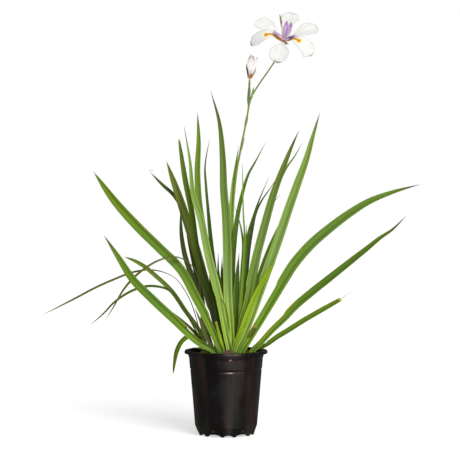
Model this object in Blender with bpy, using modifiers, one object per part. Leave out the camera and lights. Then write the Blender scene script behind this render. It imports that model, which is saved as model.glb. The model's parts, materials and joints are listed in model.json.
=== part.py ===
"""An African iris in a black nursery pot: the pot, its potting mix, the fans of
sword leaves, the flower stem with its open flower, and the bud beside it.

Run with: blender --background --python part.py
Frame: metres, +Z up, the origin on the pot's axis at the surface that it stands on.
The plant's flat side, with most of its leaves in view, faces -Y.
"""

import math

import bmesh
import bpy
import numpy as np
from mathutils import Matrix, Vector, noise

MM = 0.001

# The pot, in millimetres. Its outside runs from the rim down to the feet.
RIM_Z = 151.0
RIM_RADIUS = 74.8
FOOT_RADIUS = 50.8
POT_OUTSIDE = [
    (66.9, RIM_Z),
    (73.6, RIM_Z),
    (RIM_RADIUS, 149.6),
    (RIM_RADIUS, 145.4),
    (73.2, 145.4),
    (73.2, 149.2),
    (68.8, 149.2),
    (67.9, 140.5),
    (66.7, 138.3),
    (65.2, 119.8),
    (63.9, 117.6),
    (64.3, 114.6),
    (56.0, 16.0),
    (54.6, 13.0),
    (51.8, 3.6),
    (FOOT_RADIUS, 0.0),
    (46.6, 0.0),
    (45.8, 5.0),
    (0.0, 5.0),
]
POT_INSIDE = [(0.0, 6.8), (49.6, 6.8), (53.0, 14.6), (62.6, 117.0), (66.2, 141.0)]
POT_STEPS = 48
FOOT_PAIRS = 6
FOOT_FROM_PAIR_CENTRE = 12.0
FOOT_SPAN = 6.0
NARROW_NOTCH_HEIGHT = 3.2
WIDE_NOTCH_HEIGHT = 4.4
PAIR_START = -85.0
NOTCH_REACH = 16.0
DRAIN_RADIUS = 4.5
DRAIN_DEPTH = 12.0
DRAIN_SEAT = (53.5, 8.5)
DRAIN_TILT = 105.0

# The potting mix and the crowns that stand in its pits.
SOIL_LEVEL = 139.0
SOIL_MOUND = 3.0
SOIL_LUMP = 1.6
SOIL_LUMP_SIZE = 11.0
SOIL_BOTTOM = 7.1
SEAT_GAP = 0.3
SOIL_STEPS = 32
SOIL_RINGS = 6
CROWN_BOTTOM = 117.0
CROWN_TOP = 149.0
ROOT_Z = 127.0

# The blades.
BLADE_THICKNESS = 0.9
ROW_SPACING = 55.0
ROW_BEND = 14.0
NARROW = 9.0
ROOT_SHARE = 0.62
WIDEST_AT = 0.45
TAPER_POWER = 3.4
FOLD_SHARE = 0.24
FOLD_ENDS_AT = 0.42
KEEL_SHARE = 0.05
SHEATH_SHARE = 0.74
STEP_SPAN = 0.012
LAYER_SHARE = 0.55
FOOT_REACH = 1.1
ROOT_NARROWS = 0.3
DEPTH_POWER = 1.4
TIP_WIDTH = 1.0


def blade(path, depth, width, turn=(0, 0), step=None, tip=0.0):
    """One sword leaf. path holds (x, z) points above the crown, as the plant's front
    shows them. depth is how far its tip stands behind the crown (+) or in front of it
    (-), or several such depths at even steps up to the tip. turn is the angle between
    its flat side and the plant's front at the root and at the tip. step is where along
    it the folded sheath opens, as (share of the length, edge: -1 left or 1 right), and
    tip is the share of its width that a cut end keeps."""
    depths = (0.0, 0.38 * depth, depth) if isinstance(depth, (int, float)) else depth
    return {
        "path": path,
        "depths": depths,
        "width": width,
        "turn": turn,
        "step": step,
        "tip": tip,
    }


# Each fan: where its crown stands, the crown's half axes, its green, and its blades.
FANS = {
    "fan_front_left": {
        "crown": (-14, -23),
        "size": (15, 7),
        "colour": (0.16, 0.33, 0.06),
        "blades": [
            blade(
                [(-14, 164), (-27, 195), (-52, 245), (-81, 299), (-116, 335), (-151, 370), (-194, 419),
                 (-228, 468)],
                -85, 16.5, (8, -14), (0.22, 1),
            ),
            blade(
                [(-46, 166), (-94, 212), (-131, 249), (-162, 283), (-184, 320), (-207, 359)],
                -118, 15.5, (-16, 20), (0.30, 1),
            ),
            blade([(-42, 155), (-60, 157)], -3, 7.0, (50, 60)),
        ],
    },
    "fan_back_left": {
        "crown": (-16, 18),
        "size": (12, 6),
        "colour": (0.07, 0.14, 0.03),
        "blades": [
            blade(
                [(-18, 191), (-37, 265), (-61, 348), (-85, 420), (-112, 495)],
                95, 16.0, (-10, 25), (0.26, -1),
            ),
            blade(
                [(-33, 240), (-55, 325), (-78, 398), (-97, 430), (-119, 450), (-143, 474)],
                112, 8.0, (20, 55),
            ),
            blade([(-48, 240), (-64, 286), (-75, 318), (-82, 356), (-84, 408)], 58, 10.0, (38, 48)),
            blade(
                [(-28, 247), (-41, 284), (-53, 332), (-64, 405), (-73, 447), (-87, 534)],
                55, 11.5, (20, 28), None, 0.45,
            ),
            blade([(-38, 176), (-48, 205), (-57, 226)], 6, 7.0, (20, 60)),
            blade([(-5, 240), (0, 330), (-3, 420), (-6, 452)], 116, 12.0, (30, 10)),
        ],
    },
    "fan_arching_left": {
        "crown": (-40, 3),
        "size": (9, 7),
        "colour": (0.08, 0.12, 0.03),
        "blades": [
            blade(
                [(-47, 183), (-73, 220), (-99, 257), (-128, 284), (-149, 301), (-169, 312),
                 (-185, 318)],
                22, 9.5, (55, 40),
            ),
            blade(
                [(-50, 195), (-61, 230), (-75, 258), (-92, 279), (-114, 290), (-141, 294), (-164, 291),
                 (-208, 275), (-241, 260), (-275, 242), (-308, 225), (-338, 210)],
                (0, 12, 25, 40, 58), 7.0, (60, 40),
            ),
            blade(
                [(-44, 190), (-46, 240), (-50, 286), (-62, 306), (-77, 317), (-93, 321), (-115, 316),
                 (-144, 299), (-165, 281), (-182, 260), (-198, 232), (-214, 207)],
                (0, -2, -30, -84, -62, -58), 7.0, (60, 40),
            ),
            blade(
                [(-54, 186), (-76, 226), (-92, 250), (-105, 261), (-122, 266), (-139, 267), (-160, 262),
                 (-182, 251), (-200, 238), (-221, 216), (-242, 198)],
                (0, -9, -16, -18, -18), 7.0, (60, 30),
            ),
            blade([(-57, 183), (-77, 203), (-99, 222)], -14, 8.0, (40, 50)),
            blade(
                [(-50, 170), (-64, 176), (-78, 168), (-88, 151), (-93, 128), (-95.5, 107)],
                4, 6.5, (70, 50),
            ),
        ],
    },
    "fan_centre": {
        "crown": (3, -3),
        "size": (13, 7),
        "colour": (0.17, 0.31, 0.08),
        "blades": [
            blade(
                [(1, 173), (-6, 210), (-13, 247), (-31, 320), (-47, 393), (-57, 424), (-64, 490),
                 (-74, 551)],
                -32, 15.5, (6, 60), (0.30, -1),
            ),
            blade(
                [(-12, 235), (-33, 330), (-48, 410), (-52, 470), (-50, 530), (-52, 581)],
                44, 12.0, (10, 22),
            ),
            blade(
                [(-6, 215), (-20, 290), (-28, 350), (-33, 403), (-37, 447), (-39, 485), (-37, 503),
                 (-31, 533)],
                98, 11.0, (25, 60),
            ),
            blade(
                [(8, 191), (4, 238), (3, 292), (2, 347), (0, 393), (-4, 440), (-6, 500), (-12, 560),
                 (-27, 615)],
                -12, 16.5, (-10, 34), (0.18, -1),
            ),
            blade([(-9, 259), (-14, 292), (-14, 324)], 24, 8.0, (10, 30)),
            blade([(-6, 255), (-8, 286), (-7, 318)], 44, 9.0, (20, 40)),
            blade([(-6, 160), (-14, 187), (-18, 203)], -9, 6.5, (35, 45), None, 0.8),
            blade([(7, 179), (2, 215), (-4, 237), (-11, 247)], -6, 6.5, (40, 50)),
        ],
    },
    "fan_centre_right": {
        "crown": (17, 11),
        "size": (9, 6),
        "colour": (0.22, 0.36, 0.10),
        "blades": [
            blade(
                [(12, 240), (11.5, 288), (13, 322), (16, 355), (21, 392), (29, 430), (37, 458),
                 (43, 473), (50, 485), (73, 528)],
                (0, 0, 0, 24, 74), 11.5, (12, 45),
            ),
            blade(
                [(25, 215), (28, 290), (30, 350), (26, 374), (15, 411)],
                (0, -12, -24, -32), 6.5, (20, 30),
            ),
            blade(
                [(27, 240), (32, 320), (33, 364), (31, 395), (30, 440), (29.5, 484)],
                (0, -14, -30, -44), 6.5, (25, 60),
            ),
            blade([(15, 241), (18, 274), (21, 301), (24, 327)], -9, 9.5, (15, 20)),
        ],
    },
    "fan_back_right": {
        "crown": (37, 15),
        "size": (10, 6),
        "colour": (0.08, 0.16, 0.04),
        "blades": [
            blade(
                [(33, 277), (36, 308), (40, 358), (51, 395), (60, 420), (69, 441), (78, 462)],
                36, 8.0, (20, 60),
            ),
            blade(
                [(36, 265), (38, 293), (43, 338), (48, 367), (55, 397), (67, 422), (82, 443),
                 (91, 457)],
                102, 10.5, (25, 60),
            ),
            blade([(31, 255), (33, 290), (36, 350), (37.5, 377)], 12, 8.5, (15, 30)),
            blade([(47, 265), (61, 327), (70, 364), (80, 398), (91, 421), (99, 431)], 60, 9.0, (30, 50)),
            blade(
                [(48, 260), (62, 330), (77, 392), (92, 438), (111, 480), (128, 504), (142, 528)],
                84, 9.0, (35, 50),
            ),
            blade([(50, 240), (72, 310), (96, 366), (112, 398)], 116, 13.0, (40, 20)),
        ],
    },
    "fan_front_right": {
        "crown": (24, -13),
        "size": (12, 7),
        "colour": (0.20, 0.36, 0.07),
        "blades": [
            blade(
                [(23, 178), (28, 202), (38, 241), (47, 287), (57, 328), (67, 366), (88, 439),
                 (103, 479), (122, 525), (132, 547)],
                22, 15.5, (-6, 26), (0.32, -1),
            ),
            blade(
                [(31, 178), (41, 202), (58, 250), (74, 296), (95, 356), (110, 401), (126, 447),
                 (142, 492), (154, 534), (166, 575)],
                -34, 17.0, (6, -18), (0.33, -1),
            ),
            blade([(27, 185), (46, 236), (60, 266), (75, 292), (84, 306)], -26, 7.5, (40, 45)),
            blade(
                [(37, 167), (55, 197), (78, 236), (101, 275), (121, 307), (152, 343), (184, 371),
                 (217, 396), (250, 417), (295, 435), (341, 448)],
                -52, 17.0, (-8, 16), (0.34, -1),
            ),
            blade([(37, 163), (44, 178), (52, 196)], -13, 10.5, (25, 20), None, 0.65),
        ],
    },
    "fan_far_right": {
        "crown": (46, -7),
        "size": (7, 5),
        "colour": (0.14, 0.30, 0.06),
        "blades": [
            blade(
                [(60, 164), (82, 189), (104, 211), (120, 229), (151, 257), (182, 283), (214, 310),
                 (246, 337), (268, 356), (285, 368), (308, 392)],
                -124, 15.0, (10, 24), (0.30, -1),
            ),
            blade(
                [(70, 160), (93, 177), (110, 188), (136, 206), (169, 227), (201, 247)],
                -74, 9.5, (-14, 10), (0.27, -1), 0.6,
            ),
        ],
    },
}

# The flower stem: points are (x, y, z) and the last value is the radius there.
STEM_CROWN = (4, 28)
STEM_CROWN_SIZE = (7, 6)
STEM = [
    (6, 28, 128, 2.1),
    (8, 27, 250, 2.0),
    (10, 24, 350, 1.9),
    (14, 19, 425, 1.9),
    (20, 15, 478, 1.9),
    (28, 11.5, 520, 1.8),
    (33, 9, 545, 1.6),
    (36.5, 8, 563, 1.7),
    (39.5, 7, 580, 1.5),
    (42, 6, 595, 1.9),
    (46, 5, 607, 1.6),
    (54, 4, 621, 1.4),
    (64, 3, 636, 1.3),
    (76, 2, 653, 1.3),
    (86, 1, 668, 1.3),
    (96, 1, 684, 1.3),
]
BUD_STALK = [
    (41, 6, 590, 1.2),
    (40.5, 6, 597, 2.2),
    (41, 6, 606, 2.8),
    (41.6, 6, 615, 2.6),
    (42.0, 6, 624, 2.0),
    (42.2, 6, 630, 1.3),
    (42.3, 6, 633.5, 1.7),
    (42.4, 6, 638.8, 1.3),
]
SMALL_BRACT = [(46, 4.6, 603, 0.8), (47.2, 4.2, 610, 1.9), (48.6, 4.0, 617, 1.6), (49.8, 3.6, 624, 0.5)]
NODE_SHEATHS = [
    [(27, 11.2, 512, 1.9), (29.3, 10.6, 524, 2.5), (31.4, 9.4, 533, 1.9)],
    [(34.6, 8.4, 555, 1.6), (36.8, 7.8, 564, 2.3), (38.4, 7.2, 573, 1.7)],
]
STEM_LEAF = blade(
    [(8, 340), (9, 380), (11, 422), (14, 458), (18, 486), (23, 519)],
    (0, -10, -8, -6), 12.5, (-6, 30),
)

# The open flower, in its own frame: +Z is the way that it faces.
FLOWER_CENTRE = (104.4, -10.0, 704.0)
FLOWER_TILT = (44.0, 0.0)
TEPAL_THICKNESS = 0.8
OUTER_LINE = [(2.0, 0.0), (12.0, 10.0), (26.0, 19.0), (38.0, 17.0), (50.0, 9.5), (61.0, 0.0)]
OUTER_HALF_WIDTHS = [2.6, 3.4, 7.5, 14.5, 15.5, 5.0]
INNER_LINE = [(2.0, 0.0), (14.0, 6.0), (28.0, 10.0), (41.0, 11.5), (53.0, 10.5), (64.0, 7.5)]
INNER_HALF_WIDTHS = [2.4, 3.2, 9.5, 16.0, 16.0, 5.0]
# Each tepal: bearing, length against the line above, and how much its tip is raised.
OUTER_TEPALS = [(188, 1.0, -1), (76, 0.96, 18), (-44, 1.0, 0)]
INNER_TEPALS = [(138, 0.98, 4), (24, 1.02, 5), (-103, 0.96, -8)]
ROLLED_LINE = [(3.2, 0.9), (20.0, 9.0), (40.0, 18.0), (53.0, 22.5)]
ROLLED_HALF_WIDTHS = [1.6, 1.4, 1.8, 0.6]
ROLLED_BEARING = 98
TEPAL_CUP = 0.10
TIP_RISE_POWER = 4
CUP_RADIUS = 4.2
CUP_HEIGHT = 1.6
STYLE_LINE = [(1.0, 3.5), (6.0, 9.0), (12.0, 13.5), (17.5, 17.0)]
STYLE_HALF_WIDTHS = [1.4, 3.2, 5.2, 5.4]
CREST_LINE = [(14.5, 15.0), (19.0, 19.5), (22.0, 25.0)]
CREST_HALF_WIDTHS = [1.9, 2.3, 0.6]
CREST_SPREAD = 11.0
STYLE_CUP = 0.30
STYLE_COLUMN = (1.9, 2.0, 6.0)
OVARY = (3.0, 11.0)

# The bud, in its own frame: +Z runs up its middle.
BUD_BASE = (43.0, 6.0, 641.4)
BUD_TILT = (4.0, 7.0)
# Each petal: bearing, half span at its foot, stretch, lean at its tip, and layer.
BUD_PETALS = [
    (-100, 62, 1.00, 0.4, 0),
    (-20, 58, 0.93, 4.5, 1),
    (70, 60, 0.97, 2.0, 0),
    (150, 62, 1.05, -0.5, 1),
    (205, 50, 0.90, 1.0, 2),
]
BUD_LAYER = 0.45
BUD_PETAL_LINE = [(1.4, 0.5), (4.6, 7.0), (6.8, 16.0), (7.2, 25.0), (5.6, 34.0), (4.0, 40.0)]
BUD_CORE = [(0.0, 0.2), (1.6, 0.4), (4.8, 7.0), (7.0, 16.0), (7.4, 25.0), (5.4, 33.0), (0.0, 34.0)]
BUD_SHEATHS = [(180, 46), (300, 40), (35, 44)]
BUD_SHEATH_LINE = [(1.2, -1.6), (3.6, -1.1), (7.7, 5.6), (9.4, 15.5), (9.7, 22.5)]
BUD_FOOT = (3.0, -1.9, -0.2)
PETAL_SHARES = [1.0, 1.0, 0.95, 0.80, 0.52, 0.12]
SHEATH_SHARES = [1.0, 1.0, 0.85, 0.55, 0.12]


def empty_scene():
    for old in list(bpy.data.objects):
        bpy.data.objects.remove(old, do_unlink=True)


def new_collection(name):
    made = bpy.data.collections.new(name)
    bpy.context.scene.collection.children.link(made)
    return made


def material(name, colour, roughness):
    made = bpy.data.materials.new(name)
    made.use_nodes = True
    shader = made.node_tree.nodes["Principled BSDF"]
    shader.inputs["Base Color"].default_value = (*colour, 1.0)
    shader.inputs["Roughness"].default_value = roughness
    shader.inputs["Metallic"].default_value = 0.0
    return made


def new_object(name, mesh, home):
    made = bpy.data.objects.new(name, mesh)
    home.objects.link(made)
    return made


def as_mesh(source):
    """A mesh of the object as its modifiers leave it, in its own frame."""
    graph = bpy.context.evaluated_depsgraph_get()
    return bpy.data.meshes.new_from_object(source.evaluated_get(graph))


def finish(made, finish_material, smooth_angle=40.0):
    made.data.materials.clear()
    made.data.materials.append(finish_material)
    made.data.shade_smooth()
    made.data.set_sharp_from_angle(angle=math.radians(smooth_angle))


def make_cutter(made):
    made.hide_render = True
    made.display_type = "WIRE"


def turned(name, profile, steps, home):
    """A profile of (radius, height) in millimetres, turned about Z."""
    form = bmesh.new()
    points = [form.verts.new((r * MM, 0.0, z * MM)) for r, z in profile]
    for a, b in zip(points, points[1:]):
        form.edges.new((a, b))
    if profile[0][0] > 0 or profile[-1][0] > 0:
        form.edges.new((points[-1], points[0]))
    mesh = bpy.data.meshes.new(name)
    form.to_mesh(mesh)
    form.free()
    made = new_object(name, mesh, home)
    screw = made.modifiers.new("turn", "SCREW")
    screw.steps = steps
    screw.render_steps = steps
    screw.use_merge_vertices = True
    screw.merge_threshold = 0.00001
    screw.use_normal_calculate = True
    return made


def smooth_line(points, shares):
    """Points at these shares of the length of a smooth curve through the given points."""
    given = np.array(points, float)
    spans = np.linalg.norm(np.diff(given, axis=0), axis=1)
    slopes = np.diff(given, axis=0) / spans[:, None]
    tangents = np.vstack([slopes[:1], slopes[:-1], slopes[-1:]])
    tangents[1:-1] = (slopes[:-1] * spans[1:, None] + slopes[1:] * spans[:-1, None]) / (
        spans[1:, None] + spans[:-1, None]
    )
    dense = []
    for i, span in enumerate(spans):
        for t in np.linspace(0, 1, 20, endpoint=False):
            dense.append(
                (2 * t**3 - 3 * t**2 + 1) * given[i]
                + (t**3 - 2 * t**2 + t) * span * tangents[i]
                + (3 * t**2 - 2 * t**3) * given[i + 1]
                + (t**3 - t**2) * span * tangents[i + 1]
            )
    dense = np.array([*dense, given[-1]])
    run = np.concatenate([[0], np.cumsum(np.linalg.norm(np.diff(dense, axis=0), axis=1))])
    at = np.array(shares) * run[-1]
    return np.stack([np.interp(at, run, dense[:, k]) for k in range(dense.shape[1])], axis=1), run[-1]


def strip_mesh(name, rows):
    """A mesh over rows of points in millimetres, split into triangles alike everywhere."""
    form = bmesh.new()
    grid = [[form.verts.new(Vector(p) * MM) for p in row] for row in rows]
    for low, high in zip(grid, grid[1:]):
        for i in range(len(low) - 1):
            form.faces.new((low[i], low[i + 1], high[i + 1]))
            form.faces.new((low[i], high[i + 1], high[i]))
    mesh = bpy.data.meshes.new(name)
    form.to_mesh(mesh)
    form.free()
    return mesh


def thick_strip(name, rows, thickness, home):
    made = new_object(name, strip_mesh(name, rows), home)
    wall = made.modifiers.new("thickness", "SOLIDIFY")
    wall.thickness = thickness * MM
    wall.offset = 0.0
    return made


def outer_body(mesh):
    """Keeps the largest body of a mesh: hollows sealed by the join, and scraps, go."""
    form = bmesh.new()
    form.from_mesh(mesh)
    bodies = []
    left = set(form.faces)
    while left:
        body = [left.pop()]
        for face in body:
            near = {other for edge in face.edges for other in edge.link_faces} & left
            left -= near
            body += near
        bodies.append(body)
    largest = max(bodies, key=len)
    bmesh.ops.delete(form, geom=[f for body in bodies if body is not largest for f in body], context="FACES")
    form.to_mesh(mesh)
    form.free()
    return mesh


def joined(name, body, pieces, home):
    """One mesh object: the body and every object of the collection of pieces."""
    union = body.modifiers.new("join", "BOOLEAN")
    union.operation = "UNION"
    union.operand_type = "COLLECTION"
    union.collection = pieces
    union.solver = "EXACT"
    made = new_object(name, outer_body(as_mesh(body)), home)
    made.matrix_world = body.matrix_world.copy()
    for used in [body, *pieces.objects]:
        bpy.data.objects.remove(used, do_unlink=True)
    bpy.data.collections.remove(pieces)
    return made


def half_width(share, width):
    """Half of a blade's width at this share of its length."""
    rise = ROOT_SHARE + (1 - ROOT_SHARE) * math.sin(min(share / WIDEST_AT, 1.0) * math.pi / 2)
    return 0.5 * width * rise * (1 - share**TAPER_POWER)


def blade_line(leaf, crown, crown_size, layer):
    """The (x, z) points of a blade's middle, from its root inside the crown to its tip."""
    (x0, z0), (x1, z1) = leaf["path"][:2]
    lean = (x1 - x0) / max(z1 - z0, 1.0)
    chord = crown_size[0] * math.sqrt(1 - (LAYER_SHARE * abs(layer) + 1.5 / crown_size[1]) ** 2)
    reach = max(FOOT_REACH * chord - 0.5 * ROOT_SHARE * leaf["width"], 0.0)
    foot = max(-reach, min(reach, x0 - lean * (z0 - CROWN_TOP) - crown[0]))
    return [(crown[0] + ROOT_NARROWS * foot, ROOT_Z), (crown[0] + foot, CROWN_TOP), *leaf["path"]]


def row_shares(line):
    """Where along a line its rows stand: closer together where it bends."""
    steps = 120
    dense, length = smooth_line(line, np.linspace(0, 1, steps + 1))
    along = np.diff(dense, axis=0)
    headings = np.unwrap(np.arctan2(along[:, 1], along[:, 0]))
    bends = np.degrees(np.abs(np.diff(headings, prepend=headings[:1])))
    effort = np.concatenate([[0], np.cumsum(length / steps / ROW_SPACING + bends / ROW_BEND)])
    count = max(4, round(effort[-1]))
    return list(np.interp(np.linspace(0, effort[-1], count + 1), effort, np.linspace(0, 1, steps + 1)))


def depths_at(leaf, shares, crown_share):
    """How far behind the crown the blade stands at each share of its length."""
    out = np.clip((np.array(shares) - crown_share) / (1 - crown_share), 0, 1)
    if len(leaf["depths"]) == 3:
        return leaf["depths"][-1] * out**DEPTH_POWER
    return np.interp(out, np.linspace(0, 1, len(leaf["depths"])), leaf["depths"])


def blade_rows(leaf, crown, crown_size, layer=0.0):
    """The rows of points, across the blade, of one leaf that grows from this crown.
    layer is its place among the fan's leaves, from -1 in front to 1 at the back."""
    line = blade_line(leaf, crown, crown_size, layer)
    shares = row_shares(line)
    if leaf["tip"] == 0:
        shares.append(shares[-2] + 0.6 * (1 - shares[-2]))
    if leaf["step"]:
        near = [leaf["step"][0] - STEP_SPAN, leaf["step"][0] + STEP_SPAN]
        shares = [s for s in shares if min(abs(s - k) for k in near) > 0.02] + near
    shares.sort()
    flat, length = smooth_line(line, shares)
    crown_share = (CROWN_TOP - ROOT_Z) / length
    depths = depths_at(leaf, shares, crown_share)
    depths += crown[1] + LAYER_SHARE * crown_size[1] * layer
    middle = np.stack([flat[:, 0], depths, flat[:, 1]], axis=1)
    ahead = np.gradient(middle, axis=0)
    rows = []
    for share, centre, along in zip(shares, middle, ahead):
        along = Vector(along).normalized()
        side = Vector((0, 1, 0)).cross(along).normalized()
        turn = math.radians(np.interp(share, [0, 1], leaf["turn"]))
        side = (Matrix.Rotation(turn, 3, along) @ side).normalized()
        normal = along.cross(side)
        half = half_width(share * (1 - 0.5 * leaf["tip"]), leaf["width"])
        half = max(half, 0.5 * TIP_WIDTH) * np.interp(centre[2], [ROOT_Z, CROWN_TOP], [ROOT_NARROWS, 1.0])
        left, right = half, half
        if leaf["step"] and share < leaf["step"][0]:
            left *= SHEATH_SHARE if leaf["step"][1] < 0 else 1.0
            right *= SHEATH_SHARE if leaf["step"][1] > 0 else 1.0
        fold = FOLD_SHARE * max(0.0, 1 - share / FOLD_ENDS_AT) + KEEL_SHARE
        centre = Vector(centre)
        row = [centre - side * left, centre + side * right]
        if leaf["width"] > NARROW:
            row.insert(1, centre + normal * fold * 2 * half)
        rows.append(row)
    return rows


def crown_post(name, place, size, bottom, top, sides, home, taper=0.86):
    """An upright post with an oval section, a little slimmer at its top."""
    form = bmesh.new()
    bmesh.ops.create_cone(form, cap_ends=True, segments=sides, radius1=1.0, radius2=taper, depth=1.0)
    mesh = bpy.data.meshes.new(name)
    middle = Matrix.Translation(Vector((place[0], place[1], (bottom + top) / 2)) * MM)
    form.transform(middle @ Matrix.Diagonal((size[0] * MM, size[1] * MM, (top - bottom) * MM, 1.0)))
    form.to_mesh(mesh)
    form.free()
    return new_object(name, mesh, home)


def tube(name, line, count, sides_level, home):
    """A closed tube along (x, y, z, radius) points, as a mesh with its caps welded."""
    rows, _ = smooth_line(line, np.linspace(0, 1, count))
    curve = bpy.data.curves.new(name, "CURVE")
    curve.dimensions = "3D"
    curve.bevel_depth = MM
    curve.bevel_resolution = sides_level
    curve.use_fill_caps = True
    spline = curve.splines.new("POLY")
    spline.points.add(len(rows) - 1)
    for point, (x, y, z, radius) in zip(spline.points, rows):
        point.co = (x * MM, y * MM, z * MM, 1.0)
        point.radius = radius
    drawn = new_object(name + "_curve", curve, home)
    mesh = as_mesh(drawn)
    bpy.data.objects.remove(drawn, do_unlink=True)
    form = bmesh.new()
    form.from_mesh(mesh)
    bmesh.ops.remove_doubles(form, verts=form.verts, dist=0.00001)
    bmesh.ops.recalc_face_normals(form, faces=form.faces)
    form.to_mesh(mesh)
    form.free()
    return new_object(name, mesh, home)


def cutter_rod(name, placement, radius, depth, segments, cutters):
    """A round rod along Z that this placement turns, stretches and moves."""
    form = bmesh.new()
    bmesh.ops.create_cone(
        form, cap_ends=True, segments=segments, radius1=radius * MM, radius2=radius * MM, depth=depth * MM
    )
    form.transform(placement)
    mesh = bpy.data.meshes.new(name)
    form.to_mesh(mesh)
    form.free()
    make_cutter(new_object(name, mesh, cutters))


def cut_notch(bearing, span, height, cutters):
    """A half-oval notch between two feet, cut up into the pot's bottom edge."""
    half_length = FOOT_RADIUS * math.sin(math.radians(span / 2))
    turn = Matrix.Rotation(math.radians(bearing), 4, "Z")
    oval = Matrix.Diagonal((1.0, half_length, height, 1.0))
    lie = Matrix.Rotation(math.radians(90), 4, "Y")
    out = Matrix.Translation((FOOT_RADIUS * MM, 0, 0))
    cutter_rod(f"notch_{bearing:.0f}", turn @ out @ oval @ lie, 1.0, NOTCH_REACH, 16, cutters)


def cut_drain(bearing, cutters):
    """A round drain hole through the slanted edge of the pot's base."""
    turn = Matrix.Rotation(math.radians(bearing), 4, "Z")
    out = Matrix.Translation((DRAIN_SEAT[0] * MM, 0, DRAIN_SEAT[1] * MM))
    tilt = Matrix.Rotation(math.radians(DRAIN_TILT), 4, "Y")
    cutter_rod(f"drain_{bearing:.0f}", turn @ out @ tilt, DRAIN_RADIUS, DRAIN_DEPTH, 12, cutters)


def make_pot(home, cutters):
    pot = turned("pot", POT_OUTSIDE + POT_INSIDE, POT_STEPS, home)
    pair_span = 360.0 / FOOT_PAIRS
    narrow = 2 * FOOT_FROM_PAIR_CENTRE - FOOT_SPAN
    for pair in range(FOOT_PAIRS):
        bearing = PAIR_START + pair * pair_span
        between_pairs = bearing + pair_span / 2
        cut_notch(bearing, narrow, NARROW_NOTCH_HEIGHT, cutters)
        cut_notch(between_pairs, pair_span - narrow - 2 * FOOT_SPAN, WIDE_NOTCH_HEIGHT, cutters)
        cut_drain(between_pairs, cutters)
    cut = pot.modifiers.new("feet_and_drains", "BOOLEAN")
    cut.operation = "DIFFERENCE"
    cut.operand_type = "COLLECTION"
    cut.collection = cutters
    cut.solver = "EXACT"
    finish(pot, material("black_nursery_plastic", (0.018, 0.017, 0.017), 0.42))
    return pot


def inside_radius(z):
    """The pot's inner radius at a height, in millimetres."""
    rise = POT_INSIDE[1:] + [POT_OUTSIDE[0]]
    return float(np.interp(z, [p[1] for p in rise], [p[0] for p in rise]))


def soil_height(x, y):
    """The potting mix's surface: a low mound with lumps, in millimetres."""
    share = min(math.hypot(x, y) / inside_radius(SOIL_LEVEL), 1.0)
    lump = noise.noise(Vector((x / SOIL_LUMP_SIZE, y / SOIL_LUMP_SIZE, 3.7)))
    return SOIL_LEVEL + SOIL_MOUND * (1 - share**2) + SOIL_LUMP * lump * (1 - 0.6 * share**6)


def make_potting_mix(home, pits):
    edge = inside_radius(SOIL_LEVEL) - SEAT_GAP
    side = [(inside_radius(z) - SEAT_GAP, z) for z in (117.0, 14.6)]
    profile = [(edge * ring / SOIL_RINGS, SOIL_LEVEL) for ring in range(SOIL_RINGS + 1)]
    profile += side + [(49.2, SOIL_BOTTOM), (0.0, SOIL_BOTTOM)]
    form = turned("potting_mix_form", profile, SOIL_STEPS, home)
    mesh = as_mesh(form)
    bpy.data.objects.remove(form, do_unlink=True)
    for vertex in mesh.vertices:
        if vertex.co.z > (SOIL_LEVEL - 1) * MM:
            vertex.co.z = soil_height(vertex.co.x / MM, vertex.co.y / MM) * MM
    triangles = bmesh.new()
    triangles.from_mesh(mesh)
    bmesh.ops.triangulate(triangles, faces=triangles.faces)
    triangles.to_mesh(mesh)
    triangles.free()
    mix = new_object("potting_mix", mesh, home)
    cut = mix.modifiers.new("pits", "BOOLEAN")
    cut.operation = "DIFFERENCE"
    cut.operand_type = "COLLECTION"
    cut.collection = pits
    cut.solver = "EXACT"
    finish(mix, material("bark_and_peat", (0.09, 0.055, 0.035), 0.95))
    return mix


def dig_pit(name, place, size, pits):
    """The hole in the potting mix that a crown stands in, clear of it all round."""
    grown = (size[0] + 0.5, size[1] + 0.5)
    make_cutter(crown_post("pit_" + name, place, grown, CROWN_BOTTOM - SEAT_GAP, 180.0, 20, pits, taper=1.0))


def make_fan(name, fan, home, pits):
    crown = crown_post(name + "_crown", fan["crown"], fan["size"], CROWN_BOTTOM, CROWN_TOP, 14, home)
    blades = new_collection(name + "_blades")
    front_to_back = sorted(fan["blades"], key=lambda leaf: leaf["depths"][-1])
    layers = np.linspace(-1, 1, len(front_to_back))
    for i, (leaf, layer) in enumerate(zip(front_to_back, layers)):
        rows = blade_rows(leaf, fan["crown"], fan["size"], layer)
        thick_strip(f"{name}_blade_{i}", rows, BLADE_THICKNESS, blades)
    made = joined(name, crown, blades, home)
    finish(made, material(name + "_green", fan["colour"], 0.45))
    dig_pit(name, fan["crown"], fan["size"], pits)
    return made


def flower_frame():
    tilt = Matrix.Rotation(math.radians(FLOWER_TILT[0]), 4, "X")
    return Matrix.Translation(Vector(FLOWER_CENTRE)) @ tilt


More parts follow.
